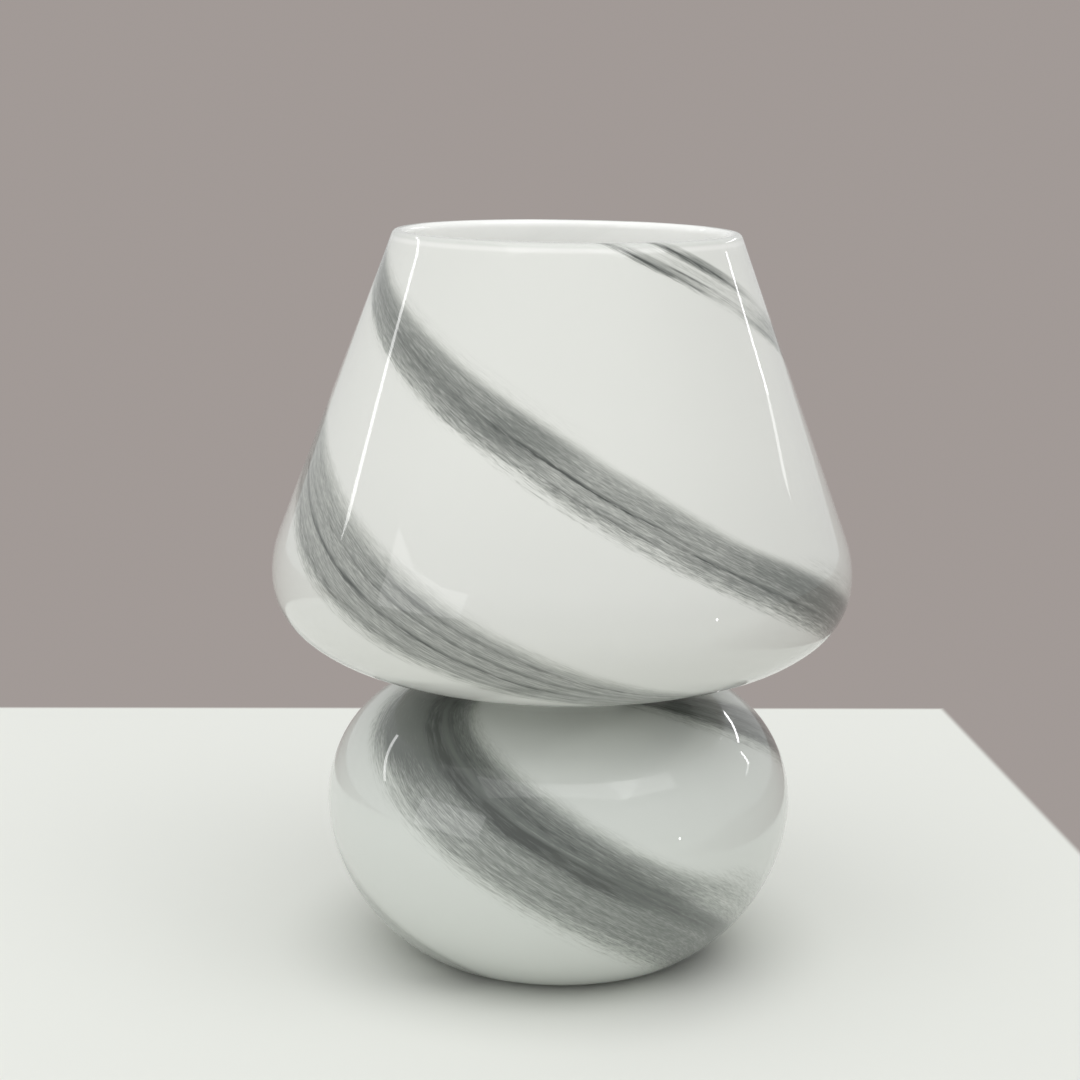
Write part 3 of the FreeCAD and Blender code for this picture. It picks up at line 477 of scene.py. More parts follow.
# %% Run, twist and side of the wall
STILL_BELOW = 60.0
outer_runs = np.cumsum([CLAMP_HOLE] + [length_of(move) for move in outer_moves])
cone_top = outer_runs[-1] + CONE_LENGTH - outer_cut
LIP_TOP = cone_top + length_of(lip_moves[1])
runs_at_ends = [*outer_runs, cone_top, LIP_TOP, LIP_TOP, cone_top, *outer_runs[::-1]]
position = np.empty(len(order))
position[order] = np.arange(len(order))
run = np.interp(position, move_ends, runs_at_ends)
over_the_lip = move_ends[len(outer_moves) + 3]
twist = np.where(run < BASE_END, base_twist(np.maximum(run, STILL_BELOW)),
                 np.where(run > SHADE_START, shade_twist(run), neck_twist(run)))
for name, values in (("run", run), ("twist", np.radians(twist)),
                     ("inner", np.interp(position, [over_the_lip, over_the_lip + 1], [0.0, 1.0]))):
    numbers = glass.data.attributes.new(name, "FLOAT", "POINT")
    numbers.data.foreach_set("value", values.astype(np.float32))
print("run to the rim:", round(float(run.max()), 1), "mm")
print("twist over all:", round(float(np.ptp(twist))), "degrees")

# %% [markdown]
# ## Spin the glass and drill the cord's way in
# The closed section goes round the axis in 224 steps, fine enough that the outline shows no
# corners. The hole low on the back is drilled square to the glass by a Boolean with a cylinder.

# %% Spin and drill
GLASS_STEPS = 224
INLET_TILT, INLET_PLACE = 36.0, (0, 0.0704206, 0.02111)
DRILL_RADIUS, DRILL_LENGTH = 6.0, 30.0
close_section(glass)
spin_round(glass, GLASS_STEPS)
bpy.ops.object.select_all(action="DESELECT")
bpy.ops.mesh.primitive_cylinder_add(vertices=64, radius=DRILL_RADIUS * MM, depth=DRILL_LENGTH * MM,
                                    location=INLET_PLACE,
                                    rotation=(math.radians(90 + INLET_TILT), 0, 0))
drill = bpy.context.object
apply_modifier(glass, "BOOLEAN", object=drill, solver="EXACT")
bpy.data.objects.remove(drill)
smooth_faces(glass, 40)
print("faces of the glass:", len(glass.data.polygons))

# %% [markdown]
# ## Swirled opal glass
# White glass scatters light and clear glass over it shines, which a Principled shader gives as a
# base with a coat. The grey grains were drawn out into hairs as the glass was blown. So the
# coordinates are turned back by the twist, which makes every band stand upright, and noise is read
# there in long thin cells. The hairs lie a little steeper than the bands do, so they are turned
# back by a smaller share of the twist.

# %% Opal glass and its hairs
on_glass = new_finish(
    "opal_glass", Roughness=0.45, IOR=1.5, Coat_Weight=1.0, Coat_Roughness=0.02, Coat_IOR=1.5,
    Subsurface_Weight=0.15, Subsurface_Radius=(1.0, 1.0, 1.0), Subsurface_Scale=0.004,
    Emission_Strength=1.0)
run_here, twist_here, inner_here = (on_glass.stored(name) for name in ("run", "twist", "inner"))


def unwound(share=1.0):
    """Object coordinates, turned back by a share of the twist, as a point on a circle."""
    angle = twist_here * -share
    turned_back = on_glass.node("ShaderNodeVectorRotate", {"Vector": on_glass, "Angle": angle},
                                rotation_type="Z_AXIS")
    return turned_back.stretched(1, 1, 0).unit()


def hairs(share, across, length, detail, gain):
    """Noise with so many cells to a radian round the lamp, each so many millimetres long."""
    x, y, _ = unwound(share).xyz()
    return (x * across).join(y * across, run_here / length).noise(1.0, detail, gain)


x, y, _ = unwound().xyz()
degrees_round = x.math("ARCTAN2", y * -1.0) * (180 / math.pi)
fur = hairs(0.95, 100.0, 3.4, 3.0, 2.4) * 0.5 + hairs(0.85, 170.0, 1.9, 2.0, 2.8) * 0.5
streaks = hairs(0.97, 28.0, 34.0, 3.0, 2.0)
patches = hairs(1.0, 6.0, 40.0, 2.0, 2.0)
blotches = hairs(0.9, 45.0, 6.0, 2.0, 2.8)
print("nodes for the hairs:", len(finishes["opal_glass"].node_tree.nodes))

# %% [markdown]
# ## The grey bands
# With the twist taken out, a band is a strip: so many degrees wide, from one run to another. The
# real bands grow, thin out and split, so each is laid as a few strips of different density that
# overlap. A negative density clears a gap. The edges wander, because noise is added to the angle
# before the strips are laid.

# %% Bands of grey
STRIP_FEATHER, STRIP_EDGE = 9.0, 1.15


def laid(along, strips, sharp):
    """Strips of grey: middle and half width in degrees, run from and to, and density."""
    total = None
    for middle, half, start, end, weight in strips:
        ends = (run_here.smooth(start - STRIP_FEATHER, start + STRIP_FEATHER)
                - run_here.smooth(end - STRIP_FEATHER, end + STRIP_FEATHER)) * weight
        strip = (1.0 - (abs(along - middle) / half).smooth(sharp, STRIP_EDGE)) * ends
        total = strip if total is None else total + strip
    return total


wander = degrees_round + (patches - 0.5) * 4.0 + (streaks - 0.5) * 1.8 + (fur - 0.5) * 2.2
# The clearing at 119 degrees, runs 126 to 152, is part lighter glass and part painted reflection of
# a window. The strip at 130 degrees from run 150 to 203 is part band and part painted shade under
# the shade.
base_strips = [
    (131, 33, 50, 203, 0.84), (147, 14, 110, 203, 0.2), (136, 7, 118, 203, 0.15),
    (130, 20, 150, 203, 0.3), (141.3, 1.4, 122, 146, -0.2), (140, 7, 50, 118, 0.2),
    (165, 14, 50, 116, 0.34), (109, 13, 152, 190, 0.35), (119, 8, 126, 152, -0.1),
    (33, 17, 50, 203, 0.6), (-60, 18, 50, 203, 0.7), (-112, 21, 50, 203, 0.95)]
shade_strips = [
    (8, 14, 203, 450, 0.55), (9, 22, 345, 450, 0.28), (8, 14, 203, 352, 0.16),
    (18, 18, 203, 303, 0.28), (-76.5, 21, 203, 450, 0.73), (-138, 13, 203, 450, 0.6),
    (130, 14, 203, 384, 0.44), (131, 15, 372, 413, 0.34), (123, 5.5, 400, 414, 0.42),
    (139, 4.5, 397, 414, 0.47)]
grey = laid(wander, base_strips, 0.25) + laid(wander, shade_strips, 0.45)
print("strips of grey:", len(base_strips) + len(shade_strips))

# %% [markdown]
# ## Dark veins
# Where the grey was thickest it ran together into thin dark veins along a band. They are laid as
# strips too, much narrower and straighter, and are broken up by the hairs and by blotches.

# %% Veins
vein_strips = [
    (1.0, 1.3, 312, 338, 0.6), (7.8, 1.0, 316, 350, 0.9), (4.8, 1.1, 282, 314, 0.8),
    (11, 6, 390, 425, 0.25), (7, 5, 340, 400, 0.35), (-79, 1.5, 255, 340, 0.7),
    (-72, 1.3, 255, 312, 0.5), (-88, 1.8, 280, 325, 0.4), (-66, 1.2, 250, 300, 0.5),
    (135.3, 4.2, 112, 196, 1.0), (138.6, 2.6, 124, 182, 0.8), (145, 3, 108, 190, 0.6),
    (149.5, 3.2, 118, 178, 0.4), (139.5, 3, 84, 124, 0.5), (138.5, 2.2, 396, 415, 1.2),
    (122.5, 2.2, 398, 415, 1.2), (127, 1.5, 392, 408, 0.7), (-104, 5, 125, 198, 0.8),
    (-112, 4, 125, 198, 0.8), (-120, 4, 140, 198, 0.7)]
veins = laid(degrees_round + (streaks - 0.5) * 1.2 + (fur - 0.5) * 0.8, vein_strips, 0.1)
print("veins:", len(vein_strips))

# %% [markdown]
# ## White, lip and light
# The grey lies outside the white, so the inner wall hardly shows it. The white is painted darker on
# the base than on the shade, as painted shade where the shade hangs over it, and darker low on the
# shade, as painted shade where it faces down. The inner white is painted lighter than the outer, as
# painted light for what comes through the wall. Just under the rim the clear glass goes on without
# the white, and a thin painted highlight line lies where they part. Some daylight comes through the
# wall, so the inner wall is given a painted glow, stronger towards the rim, where more light falls.

# %% White, lip and light
WALL_HIDES = 0.93
BASE_TO_SHADE, PAINTED_SHADE_FADES, UP_THE_SHADE = (180, 215), (285, 350), (250, 420)
LIP_CLEARS, LIP_HIGHLIGHT_RUN = (LIP_TOP - 4.2, LIP_TOP - 3.0), LIP_TOP - 3.7
# painted shade and light: the base's white is darker than the shade's, and the inner white is
# lighter than the outer
shaded_base_white, lit_inner_white = (0.655, 0.682, 0.648), (0.86, 0.866, 0.845)
lip_glass, lip_highlight_white, vein_grey = (0.70, 0.712, 0.68), (0.90, 0.90, 0.88), (0.05, 0.057, 0.052)
showing = 1.0 - inner_here * WALL_HIDES
marks = ((fur - 0.5) * 0.42 + (streaks - 0.5) * 0.2) * grey.smooth(0.0, 0.3)
density = (grey + marks).smooth(0.07, 1.12) * showing
dark_part = (veins * (fur * 0.6 + blotches + 0.02) * showing).math("MINIMUM", 1.0)
milky_and_shade = on_glass.noise(9.0, 2.0).mix((0.756, 0.764, 0.731), (0.736, 0.744, 0.712))
# painted shade: the lower shade, which faces down, is given a darker white that fades out up the
# shade
milky_and_shade = run_here.smooth(*PAINTED_SHADE_FADES).mix((0.69, 0.698, 0.668), milky_and_shade)
clear_lip = run_here.smooth(*LIP_CLEARS)
# painted highlight: a thin light line just under the rim
lip_highlight = (1.0 - abs(run_here - LIP_HIGHLIGHT_RUN).smooth(0.2, 1.4)) * 0.6
shade_white = lip_highlight.mix(clear_lip.mix(milky_and_shade, lip_glass), lip_highlight_white)
upper = run_here.smooth(*BASE_TO_SHADE)
white = inner_here.mix(upper.mix(shaded_base_white, shade_white), lit_inner_white)
tint = density.ramp((0.0, (1.0, 1.0, 1.0)), (0.3, (0.75, 0.757, 0.745)),
                    (0.6, (0.475, 0.485, 0.475)), (1.0, (0.185, 0.2, 0.192)))
color = dark_part.mix(white.tinted(tint), vein_grey)
ripple = on_glass.stretched(1, 1, 0.6).noise(26.0, 1.0)
# painted glow: the inner wall emits a little light, more towards the rim
daylight = inner_here * (0.08 + run_here.smooth(*UP_THE_SHADE) * 0.07)
feed("opal_glass", Base_Color=color, Normal=ripple.bump(0.0004, 0.35),
     Emission_Color=daylight.mix((0.0, 0.0, 0.0), (1.0, 1.0, 0.98)))
dress(glass, ["glass_body"], "opal_glass", "lamp")
print("nodes in the glass finish:", len(finishes["opal_glass"].node_tree.nodes))

# %% [markdown]
# ## Finishes of the other pieces
# Each finish starts from the colour that the record gives its slot. Real metal and plastic are
# never one flat colour: plating has a grain, turned brass has fine rings, moulded plastic has a
# faint skin. Each of them is a pattern on object coordinates, so it holds still on the piece.

# %% One pattern for colour and gloss
slots = {row["slot"]: row for row in frame["record"]["materials"]}


def shaded(rgb, factor):
    """A colour made lighter or darker by a factor."""
    return tuple(min(1.0, part * factor) for part in rgb)


def finish_from_record(slot, low, high, roughness, pattern, bump=0.0, **sockets):
    """A finish whose colour and gloss both follow one pattern."""
    rgb = slots[slot]["base_color"][:3]
    where = new_finish(slot, **sockets)
    marks = pattern(where)
    wires = {"Base_Color": marks.mix(shaded(rgb, low), shaded(rgb, high)),
             "Roughness": marks * (roughness[1] - roughness[0]) + roughness[0]}
    if bump:
        wires["Normal"] = marks.bump(bump, 0.5)
    feed(slot, **wires)


print("slots in the record:", len(slots))

# %% [markdown]
# ## Patterns of the trades
# How a piece was made shows on its skin. Plating is cloudy with a fine grain. A turned piece has
# rings, so its noise is squeezed along the axis. Sheet has marks across it from the press. Moulded
# plastic has a faint even skin, and ceramic, laminate and black rubber are speckled.


# %% Patterns
def plated(where):
    """Clouds and a fine grain."""
    return where.noise(60.0, 2.0, 1.6) * 0.5 + where.noise(900.0, 2.0, 1.4) * 0.5


def turned(where):
    """Fine rings round the axis."""
    return where.stretched(40, 40, 3800).noise(1.0, 2.0, 1.5) * 0.6 + where.noise(90.0, 2.0) * 0.4


def pressed(where):
    """Marks across the sheet."""
    return where.stretched(900, 120, 120).noise(1.0, 3.0, 1.6) * 0.5 + where.noise(150.0, 2.0) * 0.5


def moulded(where):
    """A faint, even skin."""
    return where.noise(1400.0, 2.0) * 0.6 + where.noise(40.0, 1.0, 1.5) * 0.4


def speckled(where):
    """Fine specks."""
    return where.noise(2600.0, 3.0, 2.0)


# %% [markdown]
# ## One row for each finish
# A row gives the slot, how dark and how light its colour gets, its roughness from and to, the
# pattern, the height of its bump in metres, and any other sockets. A table like this is easier to
# compare and to change than 18 graphs that are built one by one.

# %% Table of finishes
metal = {"Metallic": 1.0}
for slot, low, high, roughness, pattern, bump, sockets in (
        ("clear_bumper", 0.96, 1.04, (0.12, 0.25), moulded, 0.00002,
         {"Transmission_Weight": 0.7, "IOR": 1.48}),
        ("grommet_rubber", 0.92, 1.04, (0.55, 0.75), moulded, 0.00006, {}),
        ("gasket_rubber", 0.75, 1.35, (0.65, 0.85), speckled, 0.00006, {}),
        ("zinc_steel", 0.86, 1.12, (0.24, 0.42), plated, 0.00001, metal),
        ("stem_brass", 0.88, 1.08, (0.18, 0.36), turned, 0.00002, metal),
        ("white_plastic", 0.96, 1.03, (0.38, 0.52), moulded, 0.00003, {}),
        ("holder_plastic", 0.96, 1.03, (0.32, 0.48), moulded, 0.00003, {}),
        ("carrier_ceramic", 0.88, 1.05, (0.7, 0.85), speckled, 0.00005, {}),
        ("contact_brass", 0.88, 1.1, (0.22, 0.4), pressed, 0.00001, metal),
        ("terminal_brass", 0.86, 1.08, (0.28, 0.45), pressed, 0.00002, metal),
        ("bulb_solder", 0.85, 1.15, (0.25, 0.5), plated, 0.00004, metal),
        ("insulator_black", 0.8, 1.5, (0.12, 0.25), moulded, 0.00002, {}),
        ("bulb_cap_metal", 0.9, 1.08, (0.16, 0.3), plated, 0.00001, metal),
        ("bulb_plastic", 0.97, 1.03, (0.35, 0.5), moulded, 0.00003, {}),
        ("bulb_opal", 0.98, 1.02, (0.4, 0.5), moulded, 0.00002,
         {"Subsurface_Weight": 0.4, "Subsurface_Scale": 0.003,
          "Subsurface_Radius": (1.0, 0.95, 0.85)}),
        ("board_aluminium", 0.96, 1.03, (0.3, 0.42), speckled, 0.00001, {}),
        ("driver_laminate", 0.7, 1.2, (0.3, 0.5), speckled, 0.00001, {}),
        ("capacitor_can", 0.8, 1.3, (0.25, 0.4), moulded, 0.00001, {})):
    finish_from_record(slot, low, high, roughness, pattern, bump, **sockets)
print("finishes so far:", len(finishes))

# %% [markdown]
# ## The chips
# Each light chip is a white frame with a yellow lens on it. The lens could be a face with a finish
# of its own, but the CAD mesh is left alone, so the colour is read from the height above the board.

# %% Chip finish
FRAME_TOP, LENS_FOOT = 0.14118, 0.14128
where = new_finish("chip_phosphor", Roughness=0.25, Coat_Weight=0.5)
_, _, z = where.xyz()
lens = (z + where.noise(3000.0) * 0.0001).smooth(FRAME_TOP, LENS_FOOT)
feed("chip_phosphor",
     Base_Color=lens.mix((0.86, 0.86, 0.84), slots["chip_phosphor"]["base_color"][:3]))
print("a chip turns from white to yellow at", LENS_FOOT, "m")

# %% [markdown]
# ## The stage
# A pale plinth carries the lamp and a warm grey lies behind it. Both are one big disc: a mask in
# its finish says where the plinth ends, because a real wall would also block the light. Away from
# the lamp the plinth has a painted glow, as of a bright room that a small stage doesn't have. Near
# the lamp the glow is left out, so the real shadow stays dark, and the ring where the glow fades in
# is painted shadow.

# %% Floor
BACKDROP_GREY, BLACK = (0.36, 0.322, 0.307), (0.0, 0.0, 0.0)
BACK_EDGE, SIDE_EDGE, SHADOW_RING = (0.300, 0.304), (0.228, 0.232), (0.055, 0.11)
bpy.ops.object.select_all(action="DESELECT")
bpy.ops.mesh.primitive_circle_add(vertices=96, radius=6.0, fill_type="NGON", location=(0, 0, 0))
floor = bpy.context.object
floor.name = "stage_floor"
where = new_finish("stage_floor", Roughness=0.6, Specular_IOR_Level=0.0, Emission_Strength=1.0)
x, y, _ = where.xyz()
behind = (y + x * -0.055).smooth(*BACK_EDGE)
beside = (x + y * 0.105).smooth(*SIDE_EDGE)
far = behind.larger(beside * y.smooth(-0.3, -0.1))
# painted glow on the plinth, left out round the foot, which paints a ring of shadow
painted_glow_mask = (x * x + y * y).math("SQRT").smooth(*SHADOW_RING)
pale = where.noise(2.5, 2.0).mix((0.66, 0.674, 0.637), (0.68, 0.694, 0.657))
feed("stage_floor", Base_Color=far.mix(pale, BLACK),
     Emission_Color=far.mix(painted_glow_mask.mix(BLACK, (0.15, 0.15, 0.145)), BACKDROP_GREY))
floor.data.materials.append(finishes["stage_floor"])
print("finishes in all:", len(finishes))

# %% [markdown]
# ## The sky
# The room around is even and white. Light Path tells the sky who asks: the camera sees the grey of
# the wall, while mirrors and diffuse light see a pale room. So the wall can be darker than the
# light without taking any of it away.

# %% Sky
SKY, MIRRORED_ROOM = 0.70, (0.64, 0.645, 0.635)
world = bpy.data.worlds.new("studio_sky")
bpy.context.scene.world = world
world.use_nodes = True
background = world.node_tree.nodes["Background"]
sky = Wire(world.node_tree, background.outputs[0])
path = sky.node("ShaderNodeLightPath").socket.node
to_camera = Wire(sky.tree, path.outputs["Is Camera Ray"])
to_gloss = Wire(sky.tree, path.outputs["Is Glossy Ray"])
room = to_gloss.mix((SKY, SKY, SKY), MIRRORED_ROOM)
sky.tree.links.new(to_camera.mix(room, BACKDROP_GREY).socket, background.inputs["Color"])
print("sky:", SKY, "backdrop:", BACKDROP_GREY)

# %% [markdown]
# ## The lights
# One wide soft light above the front and one to the right give the shape. They hang so high that
# the cone doesn't mirror them. Narrow lights at the sides do little to the tones: they draw the
# thin bright lines in the clear glass. Where each stands was worked out by mirroring the camera's
# view in the glass. A light's power is its area times pi times the brightness that it should show.

# %% Lights
def strip_light(name, start, end, width, radiance, target=(0, 0, 0.17)):
    """A flat light from start to end that faces the target, as bright as radiance says."""
    start, end, target = Vector(start), Vector(end), Vector(target)
    length = (end - start).length
    lamp = bpy.data.lights.new(name, "AREA")
    lamp.shape, lamp.size, lamp.size_y = "RECTANGLE", length, width
    lamp.energy = math.pi * length * width * radiance
    made = bpy.data.objects.new(name, lamp)
    bpy.context.scene.collection.objects.link(made)
    middle = (start + end) / 2
    x = (end - start).normalized()
    z = (middle - target) - (middle - target).dot(x) * x
    set_axes(made, x, z.normalized().cross(x), z.normalized(), middle)


strip_light("soft_top", (-1.5, -0.9, 2.3), (1.5, -0.9, 2.3), 1.9, 1.0)
strip_light("soft_right", (0.8, -1.1, 1.85), (1.64, -0.32, 1.85), 1.0, 1.1)
strip_light("left_tube", (-0.814, 0.902, 0.979), (-1.498, 0.24, 0.519), 0.045, 5.0)
strip_light("right_tube", (1.225, 0.825, 0.655), (1.30, 0.768, 0.49), 0.045, 6.5)
strip_light("right_tube_foot", (1.305, 0.765, 0.495), (1.405, 0.584, 0.459), 0.03, 2.2)
strip_light("right_back_tube", (0.554, 1.292, 0.631), (1.085, 0.898, 0.667), 0.03, 10.0)
strip_light("left_window", (-1.5, -0.5, 0.44), (-0.95, -1.3, 0.44), 0.6, 1.4)
strip_light("right_spark", (1.345, -0.82, 0.04), (1.345, -0.83, 0.09), 0.03, 20.0)
print("lights:", len(bpy.data.lights))

# %% [markdown]
# ## Pieces round the axis
# A turned or moulded piece is drawn as the corners of its half section, joined up and spun. Its
# edges are then eased a little with a Bevel, because a real edge is never knife sharp, and that
# thin light line along it is what makes a small piece look made.


# %% Turned pieces
def outline(name, corners):
    """Draws a half section by extruding a point from corner to corner, in millimetres."""
    made = single_point(name, *corners[0])
    for (r0, z0), (r1, z1) in zip(corners, corners[1:]):
        bpy.ops.mesh.extrude_region_move(
            TRANSFORM_OT_translate={"value": ((r1 - r0) * MM, 0, (z1 - z0) * MM)})
    bpy.ops.object.mode_set(mode="OBJECT")
    return made


def turned_piece(name, corners, steps=96, ease=0.0):
    """A closed section spun round the axis, with its edges eased by so many millimetres."""
    made = outline(name, corners)
    close_section(made)
    spin_round(made, steps)
    if ease:
        apply_modifier(made, "BEVEL", width=ease * MM, segments=3, limit_method="ANGLE",
                       angle_limit=math.radians(40))
    return smooth_faces(made)


# %% [markdown]
# ## The bulb
# The bulb's opal globe is a ball cut level at the foot, hollow and 1.5 mm thick. It is drawn from
# the top: a turn over the ball, a step inwards and a turn back, and spun, so its poles are closed.

# %% Globe
GLOBE_RADIUS, GLOBE_WALL, GLOBE_TOP, TO_FOOT = 30.0, 1.5, 184.7, 117.6
globe, _, _ = walk("bulb_globe", 0.0, GLOBE_TOP, [
    (GLOBE_RADIUS, -TO_FOOT), (0, -90), (GLOBE_WALL,), (0, -90),
    (GLOBE_RADIUS - GLOBE_WALL, TO_FOOT)], step=2.2)
ROUND_STEPS = 96
spin_round(globe, ROUND_STEPS)
smooth_faces(globe)
dress(globe, ["bulb_diffuser"], "bulb_opal", "bulb")

# %% [markdown]
# ## The bulb's housing
# The moulded housing flares up to the globe and lets the heat out, so fine flutes run up it. They
# could be a Boolean with 48 bars, but every second column of faces drawn in by an inset is cleaner.


# %% Flutes
def flute(made, columns, low, high, inset, depth):
    """Draws in every second column of the outward faces between two heights.

    Only face selection keeps the columns between them out, since their corners are all shared.
    """
    only(made)
    bpy.ops.object.mode_set(mode="EDIT")
    bpy.ops.mesh.select_mode(type="FACE")
    bpy.ops.mesh.select_all(action="DESELECT")
    bpy.ops.object.mode_set(mode="OBJECT")
    for face in made.data.polygons:
        out = Vector((face.center.x, face.center.y, 0)).normalized()
        column = round(math.degrees(math.atan2(*face.center.yx)) / 360 * columns - 0.5)
        face.select = (column % 2 == 0 and low * MM < face.center.z < high * MM
                       and face.normal.dot(out) > 0.5)
    bpy.ops.object.mode_set(mode="EDIT")
    bpy.ops.mesh.inset(thickness=inset * MM, depth=-depth * MM, use_even_offset=True)
    bpy.ops.mesh.select_mode(type="VERT")
    bpy.ops.object.mode_set(mode="OBJECT")
    print("columns drawn in on", made.name + ":", columns // 2)


# %% [markdown]
# ## The housing's section
# The walk starts inside at the top: up to the top face and out across it, down the flare, in to
# the neck and down, then back up the inside. The neck is slim, so that the cap's thread fits
# round it.

# %% Housing
BORE, NECK = 11.15, 11.9
housing, _, _ = walk("bulb_housing_moulding", 22.6, 139.1, [
    (1.6,), (0, -90), (3.93,), (0, -97.6), (90.0, -23.74), (0, -58.66), (2.3,), (0, 90), (14.1,),
    (0, -90), (NECK - BORE,), (0, -90), (14.1,), (0, -27.61), (90.0, 22.26)], step=2.4, heading=90)
close_section(housing)
spin_round(housing, ROUND_STEPS)
flute(housing, ROUND_STEPS, low=110.0, high=136.0, inset=0.12, depth=0.3)
smooth_faces(housing, 30)
dress(housing, ["bulb_housing"], "bulb_plastic", "bulb")

# %% [markdown]
# ## Threads
# A lamp thread is rolled from thin sheet, so it is a soft wave that climbs 3.63 mm a turn. One wave
# is drawn, the Screw modifier winds it round and up, and a Solidify gives it the sheet's
# thickness. Each turn starts where the last one ends, so the points there are merged.


# %% Wound sheet
TURN_GAP = 0.01 * MM


def wound_sheet(name, middle, depth, foot, pitch, turns, sheet, steps=48, points=8):
    """A wave wound round the axis as a right-hand screw, from its foot up by so many turns."""
    waves = [(middle - depth / 2 * math.cos(2 * math.pi * k / points), foot + pitch * k / points)
             for k in range(points + 1)]
    made = outline(name, waves)
    apply_modifier(made, "SCREW", angle=2 * math.pi, screw_offset=pitch * MM, iterations=turns,
                   steps=steps, render_steps=steps, use_merge_vertices=True,
                   merge_threshold=TURN_GAP)
    bpy.ops.object.mode_set(mode="EDIT")
    bpy.ops.mesh.select_all(action="SELECT")
    bpy.ops.mesh.remove_doubles(threshold=TURN_GAP)
    bpy.ops.mesh.normals_make_consistent(inside=False)
    bpy.ops.object.mode_set(mode="OBJECT")
    apply_modifier(made, "SOLIDIFY", thickness=sheet * MM, offset=-1)
    return smooth_faces(made, 50)


# %% [markdown]
# ## The bulb's cap
# The cap's wave lies between a plain collar, which is crimped to the housing, and a foot that
# narrows to the black insulator. The three are turned or wound one by one and joined.


# %% Cap
def join(made, *others):
    """Makes one object of several."""
    only(made)
    for other in others:
        other.select_set(True)
    bpy.ops.object.join()


PITCH = 3.629
cap = wound_sheet("bulb_cap_thread", middle=12.6, depth=0.95, foot=86.8, pitch=PITCH, turns=3,
                  sheet=0.25)
collar = turned_piece("bulb_cap_collar", [
    (12.2, 100.9), (12.2, 105.7), (13.1, 105.7), (13.1, 101.4), (12.7, 100.9)], ease=0.15)
foot = turned_piece("bulb_cap_foot", [
    (11.5, 84.8), (11.5, 85.6), (12.0, 88.6), (12.35, 88.6), (12.2, 86.4), (11.9, 84.8)], ease=0.1)
join(cap, collar, foot)
dress(cap, ["bulb_screw_cap"], "bulb_cap_metal", "bulb")

# %% [markdown]
# ## The holder's shell
# The brass shell has the same pitch, wider and shallower, so that the cap turns freely in it. A lip
# stiffens its mouth, and a flange at its foot rests on the ceramic carrier.

# %% Shell
shell = wound_sheet("holder_shell_thread", middle=13.65, depth=0.5, foot=76.4, pitch=PITCH,
                    turns=4, sheet=0.15)
lip = turned_piece("holder_shell_lip", [
    (13.4, 94.4), (13.4, 96.3), (13.85, 96.3), (13.85, 94.4)], ease=0.1)
flange = turned_piece("holder_shell_flange", [
    (13.4, 75.5), (13.4, 77.4), (13.85, 77.4), (13.85, 75.9), (14.7, 75.9), (14.7, 75.5)], ease=0.1)
join(shell, lip, flange)
dress(shell, ["screw_shell"], "contact_brass", "lamp")

# %% [markdown]
# ## Threaded tubes
# M10 x 1 tubes carry the holder and clamp the glass. Each is a plain turned tube with the same kind
# of winding round it, at 1 mm a turn. A helix cut into the tube by a Boolean would be slower and
# would leave thin slivers.

# %% Threaded tubes
for name, node, low, high in (("upper_threaded_tube", "upper_tube", 40.4, 61.4),
                              ("lower_threaded_tube", "lower_tube", 4.0, 30.4)):
    core = turned_piece(name, [(3.7, low), (3.7, high), (4.3, high), (4.5, high - 0.3),
                               (4.5, low + 0.3), (4.3, low)])
    winding = wound_sheet(name + "_winding", middle=4.72, depth=0.5, foot=low + 0.5, pitch=1.0,
                          turns=int(high - low) - 2, sheet=0.12, steps=36, points=6)
    join(core, winding)
    dress(core, [node], "zinc_steel", "lamp")

# %% [markdown]
# ## The holder's skirt
# The holder is moulded in two halves that screw together. Fingers turn the skirt, so it has ribs
# all round, made by drawing in every second column of faces. A lip rounds its top edge.


# %% Holder skirt
RIB_STEPS = 144
skirt = turned_piece("holder_skirt_moulding", [
    (17.45, 68.5), (17.45, 75.6), (14.1, 76.1), (14.1, 98.9), (18.3, 98.9), (19.1, 98.6),
    (19.5, 97.8), (19.5, 95.5), (19.2, 95.2), (19.2, 93.5), (19.5, 93.2), (19.5, 72.0),
    (19.2, 71.7), (19.2, 70.3), (19.5, 70.0), (19.5, 68.5)], RIB_STEPS)
flute(skirt, RIB_STEPS, low=72.1, high=93.1, inset=0.15, depth=0.45)
smooth_faces(skirt, 30)
dress(skirt, ["holder_skirt"], "holder_plastic", "lamp")

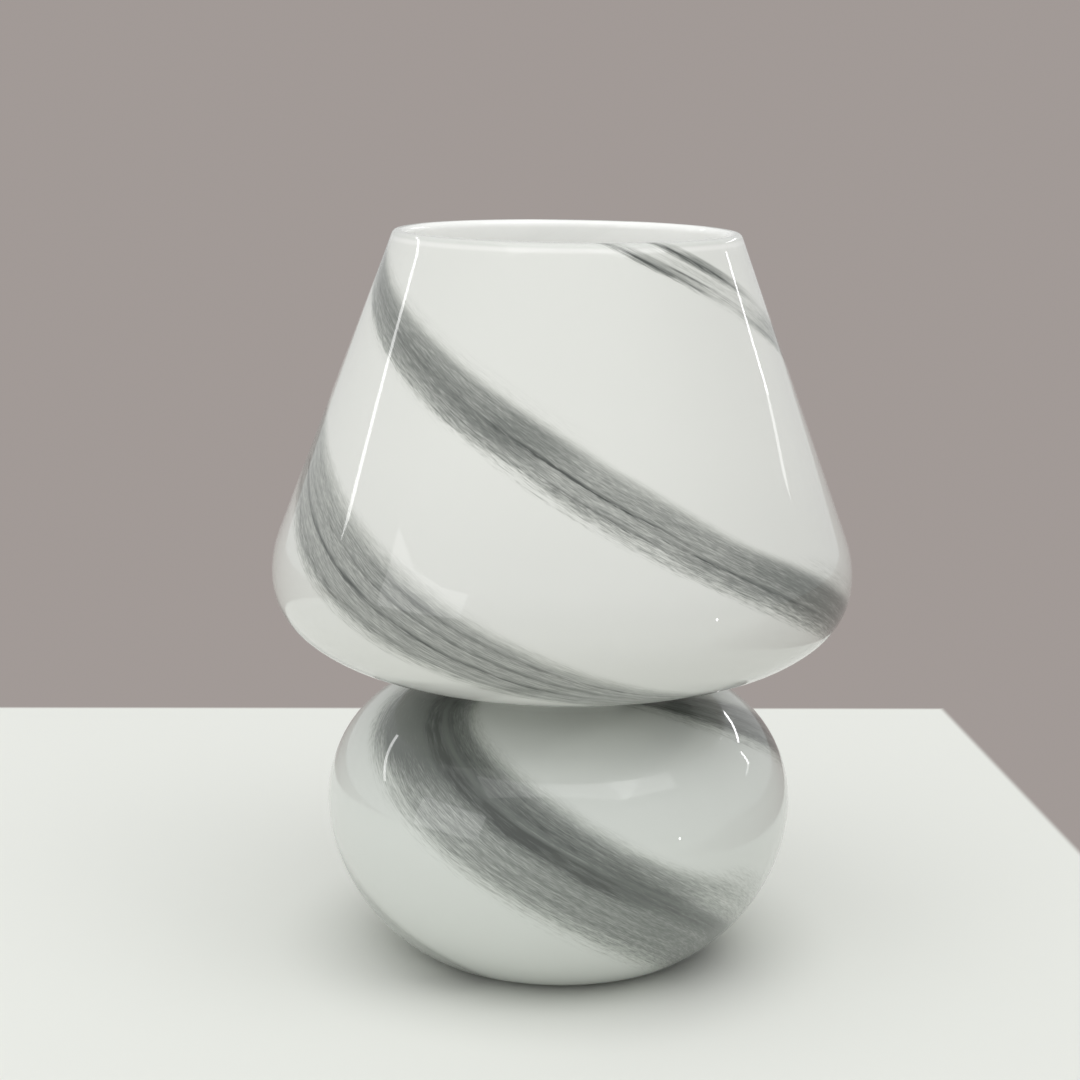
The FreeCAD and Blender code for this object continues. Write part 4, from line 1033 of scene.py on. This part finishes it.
# %% [markdown]
# ## Bumpers
# Four clear bumpers stand under the foot. One is made from a disc: it is extruded for the straight
# edge, then inset and lowered four times, which rounds it into a dome. The other three are copies
# of it, turned about the axis, and the four are joined, because they are one node in the CAD.

# %% Domed bumpers
BUMPER_RADIUS, BUMPER_CIRCLE, BUMPER_HEIGHT, BUMPER_EDGE = 3.8, 45.0, 1.2, 0.5
diagonal = BUMPER_CIRCLE * MM * math.cos(math.pi / 4)
bpy.ops.object.select_all(action="DESELECT")
bpy.ops.mesh.primitive_circle_add(vertices=48, radius=BUMPER_RADIUS * MM, fill_type="NGON",
                                  location=(diagonal, diagonal, BUMPER_HEIGHT * MM))
bumper = bpy.context.object
bumper.name = "clear_bumpers"
bpy.ops.object.transform_apply(location=True)
bpy.ops.object.mode_set(mode="EDIT")
bpy.ops.mesh.select_all(action="SELECT")
bpy.ops.mesh.extrude_region_move(TRANSFORM_OT_translate={"value": (0, 0, -BUMPER_EDGE * MM)})
for down, in_by in ((0.3, 0.25), (0.22, 0.4), (0.13, 0.6), (0.05, 0.8)):
    bpy.ops.mesh.inset(thickness=in_by * MM)
    bpy.ops.transform.translate(value=(0, 0, -down * MM))
bpy.ops.mesh.select_all(action="SELECT")
bpy.ops.mesh.normals_make_consistent(inside=False)
bpy.ops.object.mode_set(mode="OBJECT")
copies = []
for quarter in (1, 2, 3):
    twin = bumper.copy()
    twin.data = bumper.data.copy()
    bpy.context.scene.collection.objects.link(twin)
    twin.rotation_euler.z = quarter * math.pi / 2
    only(twin)
    bpy.ops.object.transform_apply(rotation=True)
    copies.append(twin)
join(bumper, *copies)
smooth_faces(bumper, 50)
dress(bumper, ["foot_pads"], "clear_bumper", "lamp")

# %% [markdown]
# ## Pieces that keep their CAD shape
# Small or hidden pieces are already right in the CAD model, so they only take their finish. The
# CAD nodes that a piece stands for take theirs too, so that none is left bare.

# %% Finishes for the CAD nodes
for row in frame["record"]["subparts"]:
    node = nodes[row["node"]]
    node.data.materials.clear()
    node.data.materials.append(finishes[row["material_slot"]])
